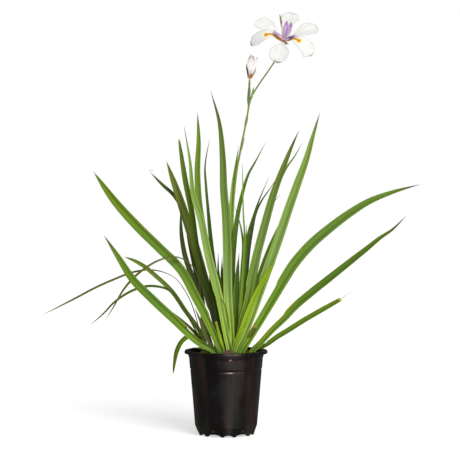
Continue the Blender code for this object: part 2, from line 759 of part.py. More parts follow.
def make_stem(home, pits):
    """The flower stem, its sheath leaf and bracts, the bud's stalk and the ovary."""
    crown = crown_post("flower_stem_crown", STEM_CROWN, STEM_CROWN_SIZE, CROWN_BOTTOM, CROWN_TOP, 12, home)
    pieces = new_collection("flower_stem_pieces")
    seat = flower_frame()
    neck = [seat @ Vector((0, 0, -k)) for k in (OVARY[1] + 6.0, OVARY[1], 0.6 * OVARY[1], 2.4, 0.9)]
    radii = (1.3, 1.7, OVARY[0], 2.6, 2.2)
    stalk = STEM + [(*(p), r) for p, r in zip(neck, radii)]
    tube("stem", stalk, 28, 1, pieces)
    tube("bud_stalk", BUD_STALK, 10, 1, pieces)
    tube("small_bract", SMALL_BRACT, 6, 1, pieces)
    for i, sheath in enumerate(NODE_SHEATHS):
        tube(f"node_sheath_{i}", sheath, 4, 1, pieces)
    rows = blade_rows(STEM_LEAF, STEM_CROWN, STEM_CROWN_SIZE)
    thick_strip("stem_leaf", rows, BLADE_THICKNESS, pieces)
    made = joined("flower_stem", crown, pieces, home)
    finish(made, material("stem_green", (0.16, 0.22, 0.06), 0.5))
    dig_pit("flower_stem", STEM_CROWN, STEM_CROWN_SIZE, pits)
    return made


def petal_rows(line, half_widths, bearing, stretch, tip_rise, cup, row_count, column_count):
    """Rows of points of one petal: a centre line of (radius, height), half widths along
    it, and a cup that lifts its edges. stretch and tip_rise fit it to the real bloom."""
    keys = np.linspace(0, 1, row_count)
    joint, _ = smooth_line([(r, h, w) for (r, h), w in zip(line, half_widths)], keys)
    spin = Matrix.Rotation(math.radians(bearing), 3, "Z")
    rows = []
    for key, (radius, height, half) in zip(keys, joint):
        row = []
        for v in np.linspace(-1, 1, column_count):
            lift = cup * half * v * v
            point = Vector((radius * stretch, half * v, height + tip_rise * key**TIP_RISE_POWER + lift))
            row.append(spin @ point)
        rows.append(row)
    return rows


def make_tepals(seat, home):
    """The six white tepals, grown together in a small cup at the flower's heart."""
    cup = crown_post("cup", (0, 0), (CUP_RADIUS, CUP_RADIUS), 0.0, CUP_HEIGHT, 12, home)
    pieces = new_collection("tepal_pieces")
    groups = [(OUTER_TEPALS, OUTER_LINE, OUTER_HALF_WIDTHS), (INNER_TEPALS, INNER_LINE, INNER_HALF_WIDTHS)]
    for g, (tepals, line, widths) in enumerate(groups):
        for i, (bearing, stretch, tip_rise) in enumerate(tepals):
            rows = petal_rows(line, widths, bearing, stretch, tip_rise, TEPAL_CUP, 8, 5)
            sunk = [[p + Vector((0, 0, 0.8)) for p in row] for row in rows]
            thick_strip(f"tepal_{g}_{i}", sunk, TEPAL_THICKNESS, pieces)
    rows = petal_rows(ROLLED_LINE, ROLLED_HALF_WIDTHS, ROLLED_BEARING, 1.0, 0.0, 0.0, 5, 2)
    thick_strip("rolled_edge", rows, TEPAL_THICKNESS, pieces)
    made = joined("flower_tepals", cup, pieces, home)
    made.parent = seat
    finish(made, material("tepal_white", (0.86, 0.86, 0.84), 0.5), 60)
    return made


def make_styles(seat, home):
    """The violet style: three arms over the outer tepals, each ending in two crests."""
    radius, bottom, top = STYLE_COLUMN
    column = crown_post("column", (0, 0), (radius, radius), bottom, top, 10, home)
    pieces = new_collection("style_pieces")
    for i, (bearing, _, _) in enumerate(OUTER_TEPALS):
        rows = petal_rows(STYLE_LINE, STYLE_HALF_WIDTHS, bearing, 1.0, 0.0, STYLE_CUP, 5, 3)
        thick_strip(f"arm_{i}", rows, TEPAL_THICKNESS, pieces)
        for side in (-1, 1):
            rows = petal_rows(CREST_LINE, CREST_HALF_WIDTHS, bearing, 1.0, 0.0, 0.2, 4, 3)
            turn = Matrix.Rotation(math.radians(CREST_SPREAD * side), 3, "Z")
            shift = [[turn @ p + Vector((0, 0, 0.15 * side)) for p in row] for row in rows]
            thick_strip(f"crest_{i}_{side}", shift, TEPAL_THICKNESS, pieces)
    made = joined("flower_styles", column, pieces, home)
    made.parent = seat
    finish(made, material("style_violet", (0.52, 0.36, 0.72), 0.5), 60)
    return made


def wrapped_rows(line, shares, bearing, span, stretch, lean, column_count):
    """Rows of points of a petal wrapped round a bud: span degrees each way at its foot."""
    row_count = len(line)
    keys = np.linspace(0, 1, row_count)
    joint, _ = smooth_line([(r, h, s) for (r, h), s in zip(line, shares)], keys)
    rows = []
    for key, (radius, height, share) in zip(keys, joint):
        row = []
        for v in np.linspace(-1, 1, column_count):
            angle = math.radians(bearing + span * share * v)
            out = radius + lean * key**3
            row.append(Vector((out * math.cos(angle), out * math.sin(angle), height * stretch)))
        rows.append(row)
    return rows


def make_bud(seat, home):
    """The half-open bud: crumpled white petals, and the brown sheaths that hold them."""
    core = turned("core", BUD_CORE[::-1], 10, home)
    solid_core = new_object("core_mesh", as_mesh(core), home)
    bpy.data.objects.remove(core, do_unlink=True)
    pieces = new_collection("bud_pieces")
    for i, (bearing, span, stretch, lean, layer) in enumerate(BUD_PETALS):
        line = [(radius + BUD_LAYER * layer, height) for radius, height in BUD_PETAL_LINE]
        rows = wrapped_rows(line, PETAL_SHARES, bearing, span, stretch, lean, 4)
        thick_strip(f"bud_petal_{i}", rows, TEPAL_THICKNESS, pieces)
    petals = joined("bud_petals", solid_core, pieces, home)
    petals.parent = seat
    finish(petals, material("bud_white", (0.80, 0.78, 0.76), 0.6), 60)
    radius, bottom, top = BUD_FOOT
    foot = crown_post("foot", (0, 0), (radius, radius), bottom, top, 12, home, taper=1.0)
    pieces = new_collection("bud_sheath_pieces")
    for i, (bearing, span) in enumerate(BUD_SHEATHS):
        rows = wrapped_rows(BUD_SHEATH_LINE, SHEATH_SHARES, bearing, span, 1.0, 0.0, 5)
        thick_strip(f"sheath_{i}", rows, TEPAL_THICKNESS, pieces)
    sheath = joined("bud_sheath", foot, pieces, home)
    sheath.parent = seat
    finish(sheath, material("bud_brown", (0.35, 0.19, 0.06), 0.6), 60)


def seat_at(name, place, tilt, home):
    """An empty that the pieces of a bloom are parented to."""
    seat = bpy.data.objects.new(name, None)
    home.objects.link(seat)
    seat.location = Vector(place) * MM
    seat.rotation_euler = (math.radians(tilt[0]), math.radians(tilt[1]), 0.0)
    return seat


def main():
    empty_scene()
    home = new_collection("potted_african_iris")
    pot_cutters = new_collection("pot_cutters")
    pits = new_collection("crown_pits")
    make_pot(home, pot_cutters)
    for name, fan in FANS.items():
        make_fan(name, fan, home, pits)
    make_stem(home, pits)
    make_potting_mix(home, pits)
    flower_seat = seat_at("flower_seat", FLOWER_CENTRE, FLOWER_TILT, home)
    make_tepals(flower_seat, home)
    make_styles(flower_seat, home)
    make_bud(seat_at("bud_seat", BUD_BASE, BUD_TILT, home), home)


main()
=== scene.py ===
# %% [markdown]
# # A potted African iris
# The real thing is a clump of flat fans of sword-shaped leaves in a black nursery pot,
# with one wiry stem that carries an open flower and a half-open bud.
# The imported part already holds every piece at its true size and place. This lesson
# dresses it: each plain solid is replaced by a finer mesh of the same form, with the
# veins, creases, colours and wear that the real piece shows.

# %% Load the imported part
import json
import math

import bmesh
import bpy
import numpy as np
from mathutils import Euler, Matrix, Vector, noise

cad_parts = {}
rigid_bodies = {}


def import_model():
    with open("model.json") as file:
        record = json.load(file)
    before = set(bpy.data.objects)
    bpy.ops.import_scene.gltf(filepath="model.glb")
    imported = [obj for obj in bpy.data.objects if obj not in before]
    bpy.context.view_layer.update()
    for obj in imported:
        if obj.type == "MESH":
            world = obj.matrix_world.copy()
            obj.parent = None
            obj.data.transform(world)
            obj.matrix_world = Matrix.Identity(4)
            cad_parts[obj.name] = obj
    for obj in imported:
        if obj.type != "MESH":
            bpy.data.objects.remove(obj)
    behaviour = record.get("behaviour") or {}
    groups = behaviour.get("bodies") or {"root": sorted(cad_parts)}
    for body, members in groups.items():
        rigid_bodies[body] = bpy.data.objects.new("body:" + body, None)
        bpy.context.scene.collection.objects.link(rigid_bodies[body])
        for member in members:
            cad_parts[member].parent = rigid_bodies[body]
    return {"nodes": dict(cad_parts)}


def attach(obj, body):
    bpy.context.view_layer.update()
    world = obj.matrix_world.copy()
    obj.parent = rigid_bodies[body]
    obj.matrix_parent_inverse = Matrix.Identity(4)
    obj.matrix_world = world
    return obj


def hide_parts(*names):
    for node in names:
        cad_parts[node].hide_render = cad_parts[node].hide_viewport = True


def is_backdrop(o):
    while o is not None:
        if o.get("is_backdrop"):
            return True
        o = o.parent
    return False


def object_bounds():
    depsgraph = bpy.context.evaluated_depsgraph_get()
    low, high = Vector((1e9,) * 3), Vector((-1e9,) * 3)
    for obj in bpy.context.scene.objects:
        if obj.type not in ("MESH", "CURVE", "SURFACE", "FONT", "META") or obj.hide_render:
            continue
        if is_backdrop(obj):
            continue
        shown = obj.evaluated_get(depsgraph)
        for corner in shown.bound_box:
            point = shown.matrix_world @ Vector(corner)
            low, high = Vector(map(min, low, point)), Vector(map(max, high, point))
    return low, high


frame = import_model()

cad_low, cad_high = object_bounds()
print("packed part from", [round(v, 3) for v in cad_low], "to", [round(v, 3) for v in cad_high])

# %% [markdown]
# ## Small tools
# Node trees make the materials, the sky and the scattered chips. Written out socket by
# socket they are hard to read, so a wire, which is one output of a node, is taught to
# add, subtract and multiply. A tree then reads as the formula that it works out.

# %% Wires and nodes


class Wire:
    """One output of a node. Sums over wires and numbers add the nodes that do them."""

    def __init__(self, socket):
        self.socket, self.tree = socket, socket.id_data

    def __getitem__(self, key):
        return Wire(self.socket.node.outputs[key])

    def __add__(self, other):
        return worked("ADD", self, other)

    def __sub__(self, other):
        return worked("SUBTRACT", self, other)

    def __rsub__(self, other):
        return worked("SUBTRACT", other, self)

    def __mul__(self, other):
        return worked("MULTIPLY", self, other)

    def __truediv__(self, other):
        return worked("DIVIDE", self, other)

    __radd__, __rmul__ = __add__, __mul__


def feed(node, inputs):
    """Sets a node's inputs. A wire is linked, and a plain value is set."""
    for key, value in inputs.items():
        if isinstance(value, Wire):
            value.tree.links.new(value.socket, node.inputs[key])
        else:
            node.inputs[key].default_value = value


def put(tree, kind, inputs=None, **settings):
    """Adds a node to a tree and gives its first output. [key] gives another one."""
    node = tree.nodes.new(kind)
    for key, value in settings.items():
        setattr(node, key, value)
    feed(node, inputs or {})
    return Wire(node.outputs[0]) if node.outputs else None


def joined(kind, inputs, **settings):
    """Adds a node to the tree that its wires are in."""
    tree = next(value.tree for value in inputs.values() if isinstance(value, Wire))
    return put(tree, kind, inputs, **settings)


print("node groups to start with:", len(bpy.data.node_groups))

# %% What a wire can go through


def worked(operation, *values):
    """A Math node over one or two values."""
    return joined("ShaderNodeMath", dict(enumerate(values)), operation=operation)


def vector_worked(operation, *values):
    return joined("ShaderNodeVectorMath", dict(enumerate(values)), operation=operation)


def scaled(vector, factor):
    return joined("ShaderNodeVectorMath", {0: vector, "Scale": factor}, operation="SCALE")


def stepped(value, low, high, to_low=0.0, to_high=1.0):
    """A smooth step from to_low to to_high while value goes from low to high."""
    inputs = {"Value": value, "From Min": low, "From Max": high, "To Min": to_low, "To Max": to_high}
    return joined("ShaderNodeMapRange", inputs, interpolation_type="SMOOTHSTEP")


def vector_of(x, y, z):
    return joined("ShaderNodeCombineXYZ", {"X": x, "Y": y, "Z": z})


def noise_at(place, scale, detail=2.0):
    return joined("ShaderNodeTexNoise", {"Vector": place, "Scale": scale, "Detail": detail})


def blend(factor, first, second):
    """Mixes two colours, each a wire or a plain colour, by a factor."""
    return joined("ShaderNodeMix", {0: factor, 6: first, 7: second}, data_type="RGBA")[2]


def shaded(colour, value):
    """The same colour, lighter or darker by this factor."""
    return joined("ShaderNodeHueSaturation", {"Value": value, "Color": colour})


def seen_colour(red, green, blue):
    """A colour as the eye reads it, 0 to 255, made linear for the shaders."""
    parts = [v / 255 for v in (red, green, blue)]
    return (*[v / 12.92 if v < 0.04045 else ((v + 0.055) / 1.055) ** 2.4 for v in parts], 1.0)


print("a middle grey is", [round(v, 3) for v in seen_colour(128, 128, 128)])

# %% Objects in the scene


def add_object(name, data):
    made = bpy.data.objects.new(name, data)
    bpy.context.scene.collection.objects.link(made)
    return made


def stand(made, place, aim):
    """Puts a camera or a lamp in a place, looking towards its aim."""
    made.location = place
    made.rotation_euler = (Vector(aim) - Vector(place)).to_track_quat("-Z", "Y").to_euler()


# %% [markdown]
# ## Camera
# The plant was photographed in a studio on white, through a long lens that stood
# nearly level with the middle of the leaves. A long lens is easiest to set by how far
# it stands from the pot and how wide a stretch the picture spans there.

# %% Camera
CAMERA_DISTANCE = 2.7
CAMERA_HEIGHT = 0.40
AIM = (0.0072, 0.0, 0.367)
VIEW_WIDTH = 0.828
SENSOR_WIDTH = 36.0

camera = add_object("camera", bpy.data.cameras.new("camera"))
stand(camera, (AIM[0], -CAMERA_DISTANCE, CAMERA_HEIGHT), AIM)
camera.data.sensor_width = SENSOR_WIDTH
camera.data.lens = SENSOR_WIDTH * CAMERA_DISTANCE / VIEW_WIDTH
bpy.context.scene.camera = camera
print("lens", round(camera.data.lens, 1), "mm")

# %% [markdown]
# ## Floor and light
# The picture has a white ground with hardly a shadow, so light comes from all round,
# and more of it from the front and the right. A bright world gives the first, one soft
# sun gives the second, and the floor glows a little, as a lit studio table does. Two
# panels only draw gleams, such as the upright one on the pot, and what a gloss mirrors
# besides them is kept dim, as dark cloths beside the table would do.

# %% World
WHITE = (1.0, 1.0, 1.0, 1.0)
WORLD_TINT = (1.0, 0.995, 0.985, 1.0)
WORLD_LIGHT = 0.50
GLOSS_GREY = (0.8, 0.8, 0.8, 1.0)
GLOSS_LIGHT = 0.14

bpy.context.scene.view_settings.view_transform = "Standard"
world = bpy.data.worlds.new("studio")
world.use_nodes = True
sky = world.node_tree
sky.nodes.clear()
seen, lit, mirrored = (
    put(sky, "ShaderNodeBackground", {"Color": colour, "Strength": strength})
    for colour, strength in ((WHITE, 1.0), (WORLD_TINT, WORLD_LIGHT), (GLOSS_GREY, GLOSS_LIGHT))
)
ray = put(sky, "ShaderNodeLightPath")
unseen = put(sky, "ShaderNodeMixShader", {0: ray["Is Glossy Ray"], 1: lit, 2: mirrored})
choice = put(sky, "ShaderNodeMixShader", {0: ray["Is Camera Ray"], 1: unseen, 2: seen})
put(sky, "ShaderNodeOutputWorld", {"Surface": choice})
bpy.context.scene.world = world
print("the world has", len(sky.nodes), "nodes")

# %% Sun and panels
SUN_STRENGTH = 2.8
SUN_ANGLE = 32.0
SUN_TURN = (50.0, 0.0, 28.0)
# Each panel: place, aim, width and height in metres, and power in watts.
PANELS = [
    ((0.22, -1.9, 0.50), (0.0, 0.0, 0.10), (0.30, 1.1), 26.0),
    ((0.44, -0.80, 0.17), (0.0, 0.0, 0.05), (0.14, 0.32), 2.2),
]

sun = add_object("sun", bpy.data.lights.new("sun", "SUN"))
sun.data.energy = SUN_STRENGTH
sun.data.angle = math.radians(SUN_ANGLE)
sun.rotation_euler = [math.radians(turn) for turn in SUN_TURN]

for place, aim, size, power in PANELS:
    panel = add_object("panel", bpy.data.lights.new("panel", "AREA"))
    panel.data.shape = "RECTANGLE"
    panel.data.size, panel.data.size_y = size
    panel.data.energy = power
    panel.visible_diffuse = False
    panel.visible_camera = False
    stand(panel, place, aim)
print("lamps:", 1 + len(PANELS))

# %% Floor
FLOOR_HALF = 8.0
FLOOR_TONES = {"Base Color": 0.50, "Emission Color": 0.55}
FLOOR_IN_GLOSS = 0.10


def grey(value):
    return (value, value, value, 1.0)


def new_finish(name, roughness, specular=0.5, glow=0.0):
    """A material, its tree and its shader, with the values that are even all over it."""
    made = bpy.data.materials.new(name)
    made.use_nodes = True
    shader = made.node_tree.nodes["Principled BSDF"]
    feed(shader, {"Roughness": roughness, "Specular IOR Level": specular, "Emission Strength": glow})
    return made, made.node_tree, shader


floor_form = bmesh.new()
bmesh.ops.create_grid(floor_form, x_segments=1, y_segments=1, size=FLOOR_HALF)
floor_mesh = bpy.data.meshes.new("floor")
floor_form.to_mesh(floor_mesh)
floor_form.free()
floor = add_object("floor", floor_mesh)
floor_finish, floor_tree, floor_shader = new_finish("pale_floor", 0.9, 0.1, glow=1.0)
in_gloss = put(floor_tree, "ShaderNodeLightPath")["Is Glossy Ray"]
feed(floor_shader, {key: blend(in_gloss, grey(v), grey(FLOOR_IN_GLOSS)) for key, v in FLOOR_TONES.items()})
floor_mesh.materials.append(floor_finish)
floor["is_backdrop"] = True
print("floor", 2 * FLOOR_HALF, "m wide")

# %% [markdown]
# ## Meshes
# Sizes are written in millimetres, as a gardener would measure them, and a mesh gets
# its metres at the last moment. Most pieces are closed skins over rings of points: a
# turned pot, a pleated crown, a petal whose ring goes out on its lower face and back on
# its upper one.

# %% Helpers for meshes
MM = 0.001


def mesh_object(name, points, edges, faces, numbers=None, vectors=None):
    """A mesh object from points in millimetres, with numbers and vectors at each point."""
    mesh = bpy.data.meshes.new(name)
    mesh.from_pydata((np.asarray(points, float) * MM).tolist(), edges, faces)
    for held_values, kind, field in ((numbers, "FLOAT", "value"), (vectors, "FLOAT_VECTOR", "vector")):
        for key, values in (held_values or {}).items():
            layer = mesh.attributes.new(key, kind, "POINT")
            layer.data.foreach_set(field, np.asarray(values, np.float32).ravel())
    return add_object(name, mesh)


def face_outwards(mesh):
    form = bmesh.new()
    form.from_mesh(mesh)
    bmesh.ops.recalc_face_normals(form, faces=form.faces)
    form.to_mesh(mesh)
    form.free()
    mesh.shade_smooth()


def plain_mesh(made):
    """Keeps what an object's modifiers make as its own mesh, with its faces outwards."""
    graph = bpy.context.evaluated_depsgraph_get()
    mesh = bpy.data.meshes.new_from_object(made.evaluated_get(graph))
    made.modifiers.clear()
    made.data = mesh
    face_outwards(mesh)
    return made


print("a millimetre is", MM, "of the scene's units")

# %% Rings into a closed surface


def ring_surface(name, rings, numbers=None, finish=None):
    """A closed mesh over rings of points, each ring going round once, with flat ends."""
    rings = np.asarray(rings, float)
    count, around = rings.shape[:2]
    rows = np.arange(count * around).reshape(count, around)
    turned = np.roll(rows, -1, axis=1)
    sides = np.stack([rows[:-1], turned[:-1], turned[1:], rows[1:]], axis=2).reshape(-1, 4)
    faces = [*sides.tolist(), rows[0].tolist(), rows[-1].tolist()]
    whole = {key: np.broadcast_to(value, (count, around)) for key, value in (numbers or {}).items()}
    made = mesh_object(name, rings.reshape(-1, 3), [], faces, whole)
    face_outwards(made.data)
    if finish:
        made.data.materials.append(finish)
    return made


def turned_rings(profile, turns):
    """The rings of a turned form, from its (radius, height) points and these turns."""
    rings = [(r * np.cos(turns), r * np.sin(turns), 0 * turns + z) for r, z in profile]
    return np.array(rings).swapaxes(1, 2)


def full_turn(count):
    return np.linspace(0, 2 * math.pi, count, endpoint=False)


print("a ring of 4 points turns by", np.degrees(full_turn(4)).tolist(), "degrees")

# %% Pieces that are ready


def one_object(name, pieces):
    """Puts the meshes of several objects into one object. The materials stay."""
    form = bmesh.new()
    finishes = []
    mesh = bpy.data.meshes.new(name)
    for piece in pieces:
        start = len(form.faces)
        form.from_mesh(piece.data)
        form.faces.ensure_lookup_table()
        here = [m for m in piece.data.materials if m]
        finishes += [m for m in here if m not in finishes]
        for face in form.faces[start:]:
            face.material_index = finishes.index(here[face.material_index])
        bpy.data.objects.remove(piece, do_unlink=True)
    form.to_mesh(mesh)
    form.free()
    for finish in finishes:
        mesh.materials.append(finish)
    return add_object(name, mesh)


def seat_piece(made, slot_name, *nodes):
    """The piece moves with the part, takes the place of its plain solids, and is counted."""
    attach(made, "root")
    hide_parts(*nodes)
    made.data.calc_loop_triangles()
    print(made.name, len(made.data.loop_triangles), "triangles")


print("the packed part has", len(frame["nodes"]), "plain solids to replace")

# %% [markdown]
# ## Smooth lines through chosen points
# A leaf's middle, a petal's length and a stalk's run are all given by a few points, as
# one would mark them on the real plant. A smooth curve through them is read off at as
# many places as the mesh needs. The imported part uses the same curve, with fewer rows.

# %% A smooth line
STEPS_BETWEEN = 20


def smooth_line(points, shares):
    """Points at these shares of the length of a smooth curve through the given points."""
    given = np.array(points, float)
    spans = np.linalg.norm(np.diff(given, axis=0), axis=1)[:, None]
    slopes = np.diff(given, axis=0) / spans
    tangents = np.vstack([slopes[:1], slopes[:-1], slopes[-1:]])
    tangents[1:-1] = (slopes[:-1] * spans[1:] + slopes[1:] * spans[:-1]) / (spans[1:] + spans[:-1])
    dense = []
    for i, span in enumerate(spans):
        for t in np.linspace(0, 1, STEPS_BETWEEN, endpoint=False):
            dense.append(
                (2 * t**3 - 3 * t**2 + 1) * given[i]
                + (t**3 - 2 * t**2 + t) * span * tangents[i]
                + (3 * t**2 - 2 * t**3) * given[i + 1]
                + (t**3 - t**2) * span * tangents[i + 1]
            )
    dense = np.array([*dense, given[-1]])
    run = np.concatenate([[0], np.cumsum(np.linalg.norm(np.diff(dense, axis=0), axis=1))])
    at = np.array(shares) * run[-1]
    return np.stack([np.interp(at, run, dense[:, k]) for k in range(dense.shape[1])], axis=1), run[-1]


print("a line of two points is", smooth_line([(0, 0), (3, 4)], [1.0])[1], "long")

# %% [markdown]
# ## Shared effects
# Leaves, petals, bark and plastic share a few effects: patches where a colour or the
# gloss changes, and long fine veins. Each is a shader group with named inputs, built
# once. A group gives out masks and heights only, and the shader stays in the material.

# %% Shader group for patches


def shader_group(name, inputs, outputs):
    """An empty shader group with these inputs and outputs. An input of None is a vector."""
    group = bpy.data.node_groups.new(name, "ShaderNodeTree")
    for socket_name, value in inputs.items():
        kind = "NodeSocketVector" if value is None else "NodeSocketFloat"
        socket = group.interface.new_socket(socket_name, in_out="INPUT", socket_type=kind)
        if value is not None:
            socket.default_value = value
    for socket_name in outputs:
        group.interface.new_socket(socket_name, in_out="OUTPUT", socket_type="NodeSocketFloat")
    return group, put(group, "NodeGroupInput"), group.nodes.new("NodeGroupOutput")


patch_group, taken, given_out = shader_group(
    "patches", {"Vector": None, "Scale": 5.0, "Start": 0.5, "End": 0.7}, ["Mask", "Cloud"]
)
cloud = noise_at(taken["Vector"], taken["Scale"], 5.0)
feed(given_out, {"Mask": stepped(cloud, taken["Start"], taken["End"]), "Cloud": cloud})


def patches(place, scale, start, end):
    """1 in patches over this place and 0 between them. ["Cloud"] is the noise itself."""
    inputs = {"Vector": place, "Scale": scale, "Start": start, "End": end}
    return joined("ShaderNodeGroup", inputs, node_tree=patch_group)


print("group", patch_group.name, "has", len(patch_group.nodes), "nodes")

# %% Shader group for long veins
# Across runs from -1 at one edge to 1 at the other, and Run is the distance along in
# metres. The lines wander a little, as real veins do.
vein_group, taken, given_out = shader_group(
    "long_veins", {"Across": 0.0, "Run": 0.0, "Lines": 12.0, "Wander": 0.3, "Seed": 0.0}, ["Line", "Height"]
)
drift = noise_at(vector_of(taken["Across"], taken["Run"] * 9.0, taken["Seed"]), 1.5)
wave = worked("COSINE", taken["Across"] * taken["Lines"] * math.pi + drift * taken["Wander"] * 12.0)
feed(given_out, {"Line": stepped(wave, 0.0, 1.0), "Height": wave})


def veins(across, run, seed, lines, wander):
    """1 on long veins and 0 between them. ["Height"] is the wave that they ride on."""
    inputs = {"Across": across, "Run": run, "Lines": lines, "Wander": wander, "Seed": seed}
    return joined("ShaderNodeGroup", inputs, node_tree=vein_group)


print("group", vein_group.name, "has", len(vein_group.nodes), "nodes")

# %% Helpers for materials


def held(tree, names):
    """Numbers that the mesh holds at its points, one wire for each name."""
    return [put(tree, "ShaderNodeAttribute", attribute_name=name)["Fac"] for name in names.split()]


def object_place(tree, scale=None, turn=(0.0, 0.0, 0.0)):
    """The place on the object, stretched and turned if a scale is given."""
    place = put(tree, "ShaderNodeTexCoord")["Object"]
    if scale is None:
        return place
    return joined("ShaderNodeMapping", {"Vector": place, "Scale": scale, "Rotation": turn})


def bumps(height, strength, distance):
    """A normal for the shader from a height. distance is the height of 1 in metres."""
    return joined("ShaderNodeBump", {"Height": height, "Strength": strength, "Distance": distance})


print("materials so far:", [m.name for m in bpy.data.materials])

# %% [markdown]
# ## The leaf's finish
# An iris leaf is matt to satin. It is greyish green where it is full grown and yellower
# where it is young, near its root and towards its tip. Long veins run from root to tip,
# the edges near the root are nearly yellow, and old leaves go olive and then straw, and
# dry out at their tips. Every leaf is born with a few numbers that say how light, how
# warm, how old and how dry it is, so that one material serves them all. Light and shade
# are painted in too: one half of the folded leaf is a little lighter and the other a
# little darker, and its keel carries a painted highlight, yellow near the root.

# %% Leaf colours
COOL_GREEN = seen_colour(77, 121, 44)
WARM_GREEN = seen_colour(120, 152, 8)
ROOT_GREEN = seen_colour(122, 160, 40)
GREY_GREEN = seen_colour(108, 136, 78)
FOOT_GREEN = seen_colour(84, 132, 66)
EDGE_YELLOW = seen_colour(188, 208, 44)
OLIVE_BROWN = seen_colour(112, 102, 62)
STRAW = seen_colour(206, 184, 136)
DRY_BROWN = seen_colour(132, 96, 58)
BLUSH_RED = seen_colour(206, 168, 40)
TIP_GOLD = seen_colour(214, 186, 44)
TIP_DARK = seen_colour(66, 60, 50)


def make_leaf_finish():
    made, tree, shader = new_finish("leaf_skin", 0.42, 0.12)
    across, along, run, seed, to_tip = held(tree, "across along run seed to_tip")
    light, warm, dry, aged, blush = held(tree, "light warm dry aged blush")
    ribs = veins(across, run, seed, 4.0, 0.10)
    bands = veins(across, run, seed, 1.5, 0.25)
    fine = veins(across, run, seed, 17.0, 0.22)
    long_place = vector_of(across * 1.5, run * 10.0, seed)
    streaks = patches(long_place, 1.6, 0.36, 0.66)
    from_keel = worked("ABSOLUTE", across)
    edge = stepped(from_keel, 0.62, 0.98)
    keel = stepped(from_keel, 0.14, 0.03)

    warmer = warm + (streaks - 0.5) * 0.34 + stepped(along, 0.55, 1.0, 0.0, 0.30)
    greyer = stepped(light, 0.92, 1.25) * stepped(warm, 0.2, 1.2, 0.8, 0.0)
    skin = blend(greyer, blend(warmer, COOL_GREEN, WARM_GREEN), GREY_GREEN)
    value = 1.05 - ribs * 0.26 + fine * 0.24 + bands["Height"] * 0.12 - streaks * 0.24
    # Painted light and shade: one half of the fold is lighter and the other darker, and the keel gets a
    # painted highlight, strongest near the root.
    value = value + stepped(across, -0.12, 0.16, 0.06, -0.08) + keel * stepped(along, 0.1, 0.6, 0.26, 0.08)
    tone = value * light
    root_skin = blend(stepped(run, 0.022, 0.042), FOOT_GREEN, ROOT_GREEN)
    skin = blend(stepped(run, 0.03, 0.19, 0.50, 0.0), shaded(skin, tone), shaded(root_skin, tone))
    # The yellow of the edges near the root is the leaf's own. The yellow along the keel near the root is a
    # painted highlight on the fold.
    pale = edge * stepped(run, 0.06, 0.24, 0.50, 0.14) + keel * stepped(run, 0.05, 0.16, 0.55, 0.0)
    skin = blend(pale * light, skin, shaded(EDGE_YELLOW, light))
    red = stepped(across, -0.55, -0.9) * stepped(run, 0.17, 0.11) * blush
    skin = blend(red * 0.60, skin, BLUSH_RED)
    old = blend(stepped(aged, 0.5, 1.0), OLIVE_BROWN, STRAW)
    skin = blend(stepped(aged, 0.0, 0.6), skin, shaded(old, value))

    worn = patches(long_place, 4.5, 0.66, 0.70) * stepped(edge, 0.0, 0.5, 0.0, 0.75)
    dark_tip = stepped(to_tip, 0.045, 0.006) * (0.8 - dry)
    skin = blend(worked("MAXIMUM", dark_tip, 0.0), skin, TIP_DARK)
    skin = blend(stepped(to_tip, 0.0050, 0.0015) * dry * 0.8, skin, TIP_GOLD)
    dry_end = stepped(to_tip - streaks * 0.001, 0.0016, 0.0005) * dry
    withered = worked("MAXIMUM", worn, dry_end)
    skin = blend(withered, skin, blend(streaks, DRY_BROWN, STRAW))
    height = ribs["Height"] + fine["Height"] * 0.5
    rough = 0.38 + streaks * 0.10 + withered * 0.3
    feed(shader, {"Base Color": skin, "Roughness": rough, "Normal": bumps(height, 0.6, 0.00012)})
    return made


leaf_skin = make_leaf_finish()
print("leaf finish has", len(leaf_skin.node_tree.nodes), "nodes")

# %% [markdown]
# ## Sweeping a leaf
# A sword leaf, a stalk and a stamen are all one idea: a cross-section that travels
# along a line while its width, fold and turn change. A Geometry Nodes tree does this
# well. Each line is a chain of edges whose points know which way is sideways, which
# way the leaf's face looks, how wide it is to the left and right, how thick it is and
# how high its fold stands. The tree turns the chains into curves, gives each a closed
# ring of points, and moves every point to its place on the leaf.

# %% Helpers for geometry trees


def geometry_tree(name, sockets):
    """An empty geometry tree with these named inputs, and its two ends."""
    tree = bpy.data.node_groups.new(name, "GeometryNodeTree")
    tree.interface.new_socket("Geometry", in_out="INPUT", socket_type="NodeSocketGeometry")
    for socket_name, (kind, value) in sockets.items():
        socket = tree.interface.new_socket(socket_name, in_out="INPUT", socket_type="NodeSocket" + kind)
        if value is not None:
            socket.default_value = value
    tree.interface.new_socket("Geometry", in_out="OUTPUT", socket_type="NodeSocketGeometry")
    return tree, put(tree, "NodeGroupInput"), tree.nodes.new("NodeGroupOutput")


def end_tree(geometry, finish, given_out):
    """Makes the geometry real, coats it with the finish and gives it out."""
    whole = joined("GeometryNodeRealizeInstances", {"Geometry": geometry})
    coated = joined("GeometryNodeSetMaterial", {"Geometry": whole, "Material": finish})
    feed(given_out, {"Geometry": coated})


def run_tree(made, tree, values):
    """Runs a geometry tree on an object with these inputs, and keeps the plain mesh."""
    modifier = made.modifiers.new(tree.name, "NODES")
    modifier.node_group = tree
    for item in tree.interface.items_tree:
        if item.item_type == "SOCKET" and item.in_out == "INPUT" and item.name in values:
            modifier[item.identifier] = values[item.name]
    return plain_mesh(made)


def named(tree, names, kind="FLOAT"):
    """Numbers or vectors that the mesh holds, inside a geometry tree, one for each name."""
    node = "GeometryNodeInputNamedAttribute"
    return [put(tree, node, {"Name": name}, data_type=kind)["Attribute"] for name in names.split()]


def stored(geometry, name, value, domain="POINT"):
    inputs = {"Geometry": geometry, "Name": name, "Value": value}
    return joined("GeometryNodeStoreNamedAttribute", inputs, data_type="FLOAT", domain=domain)


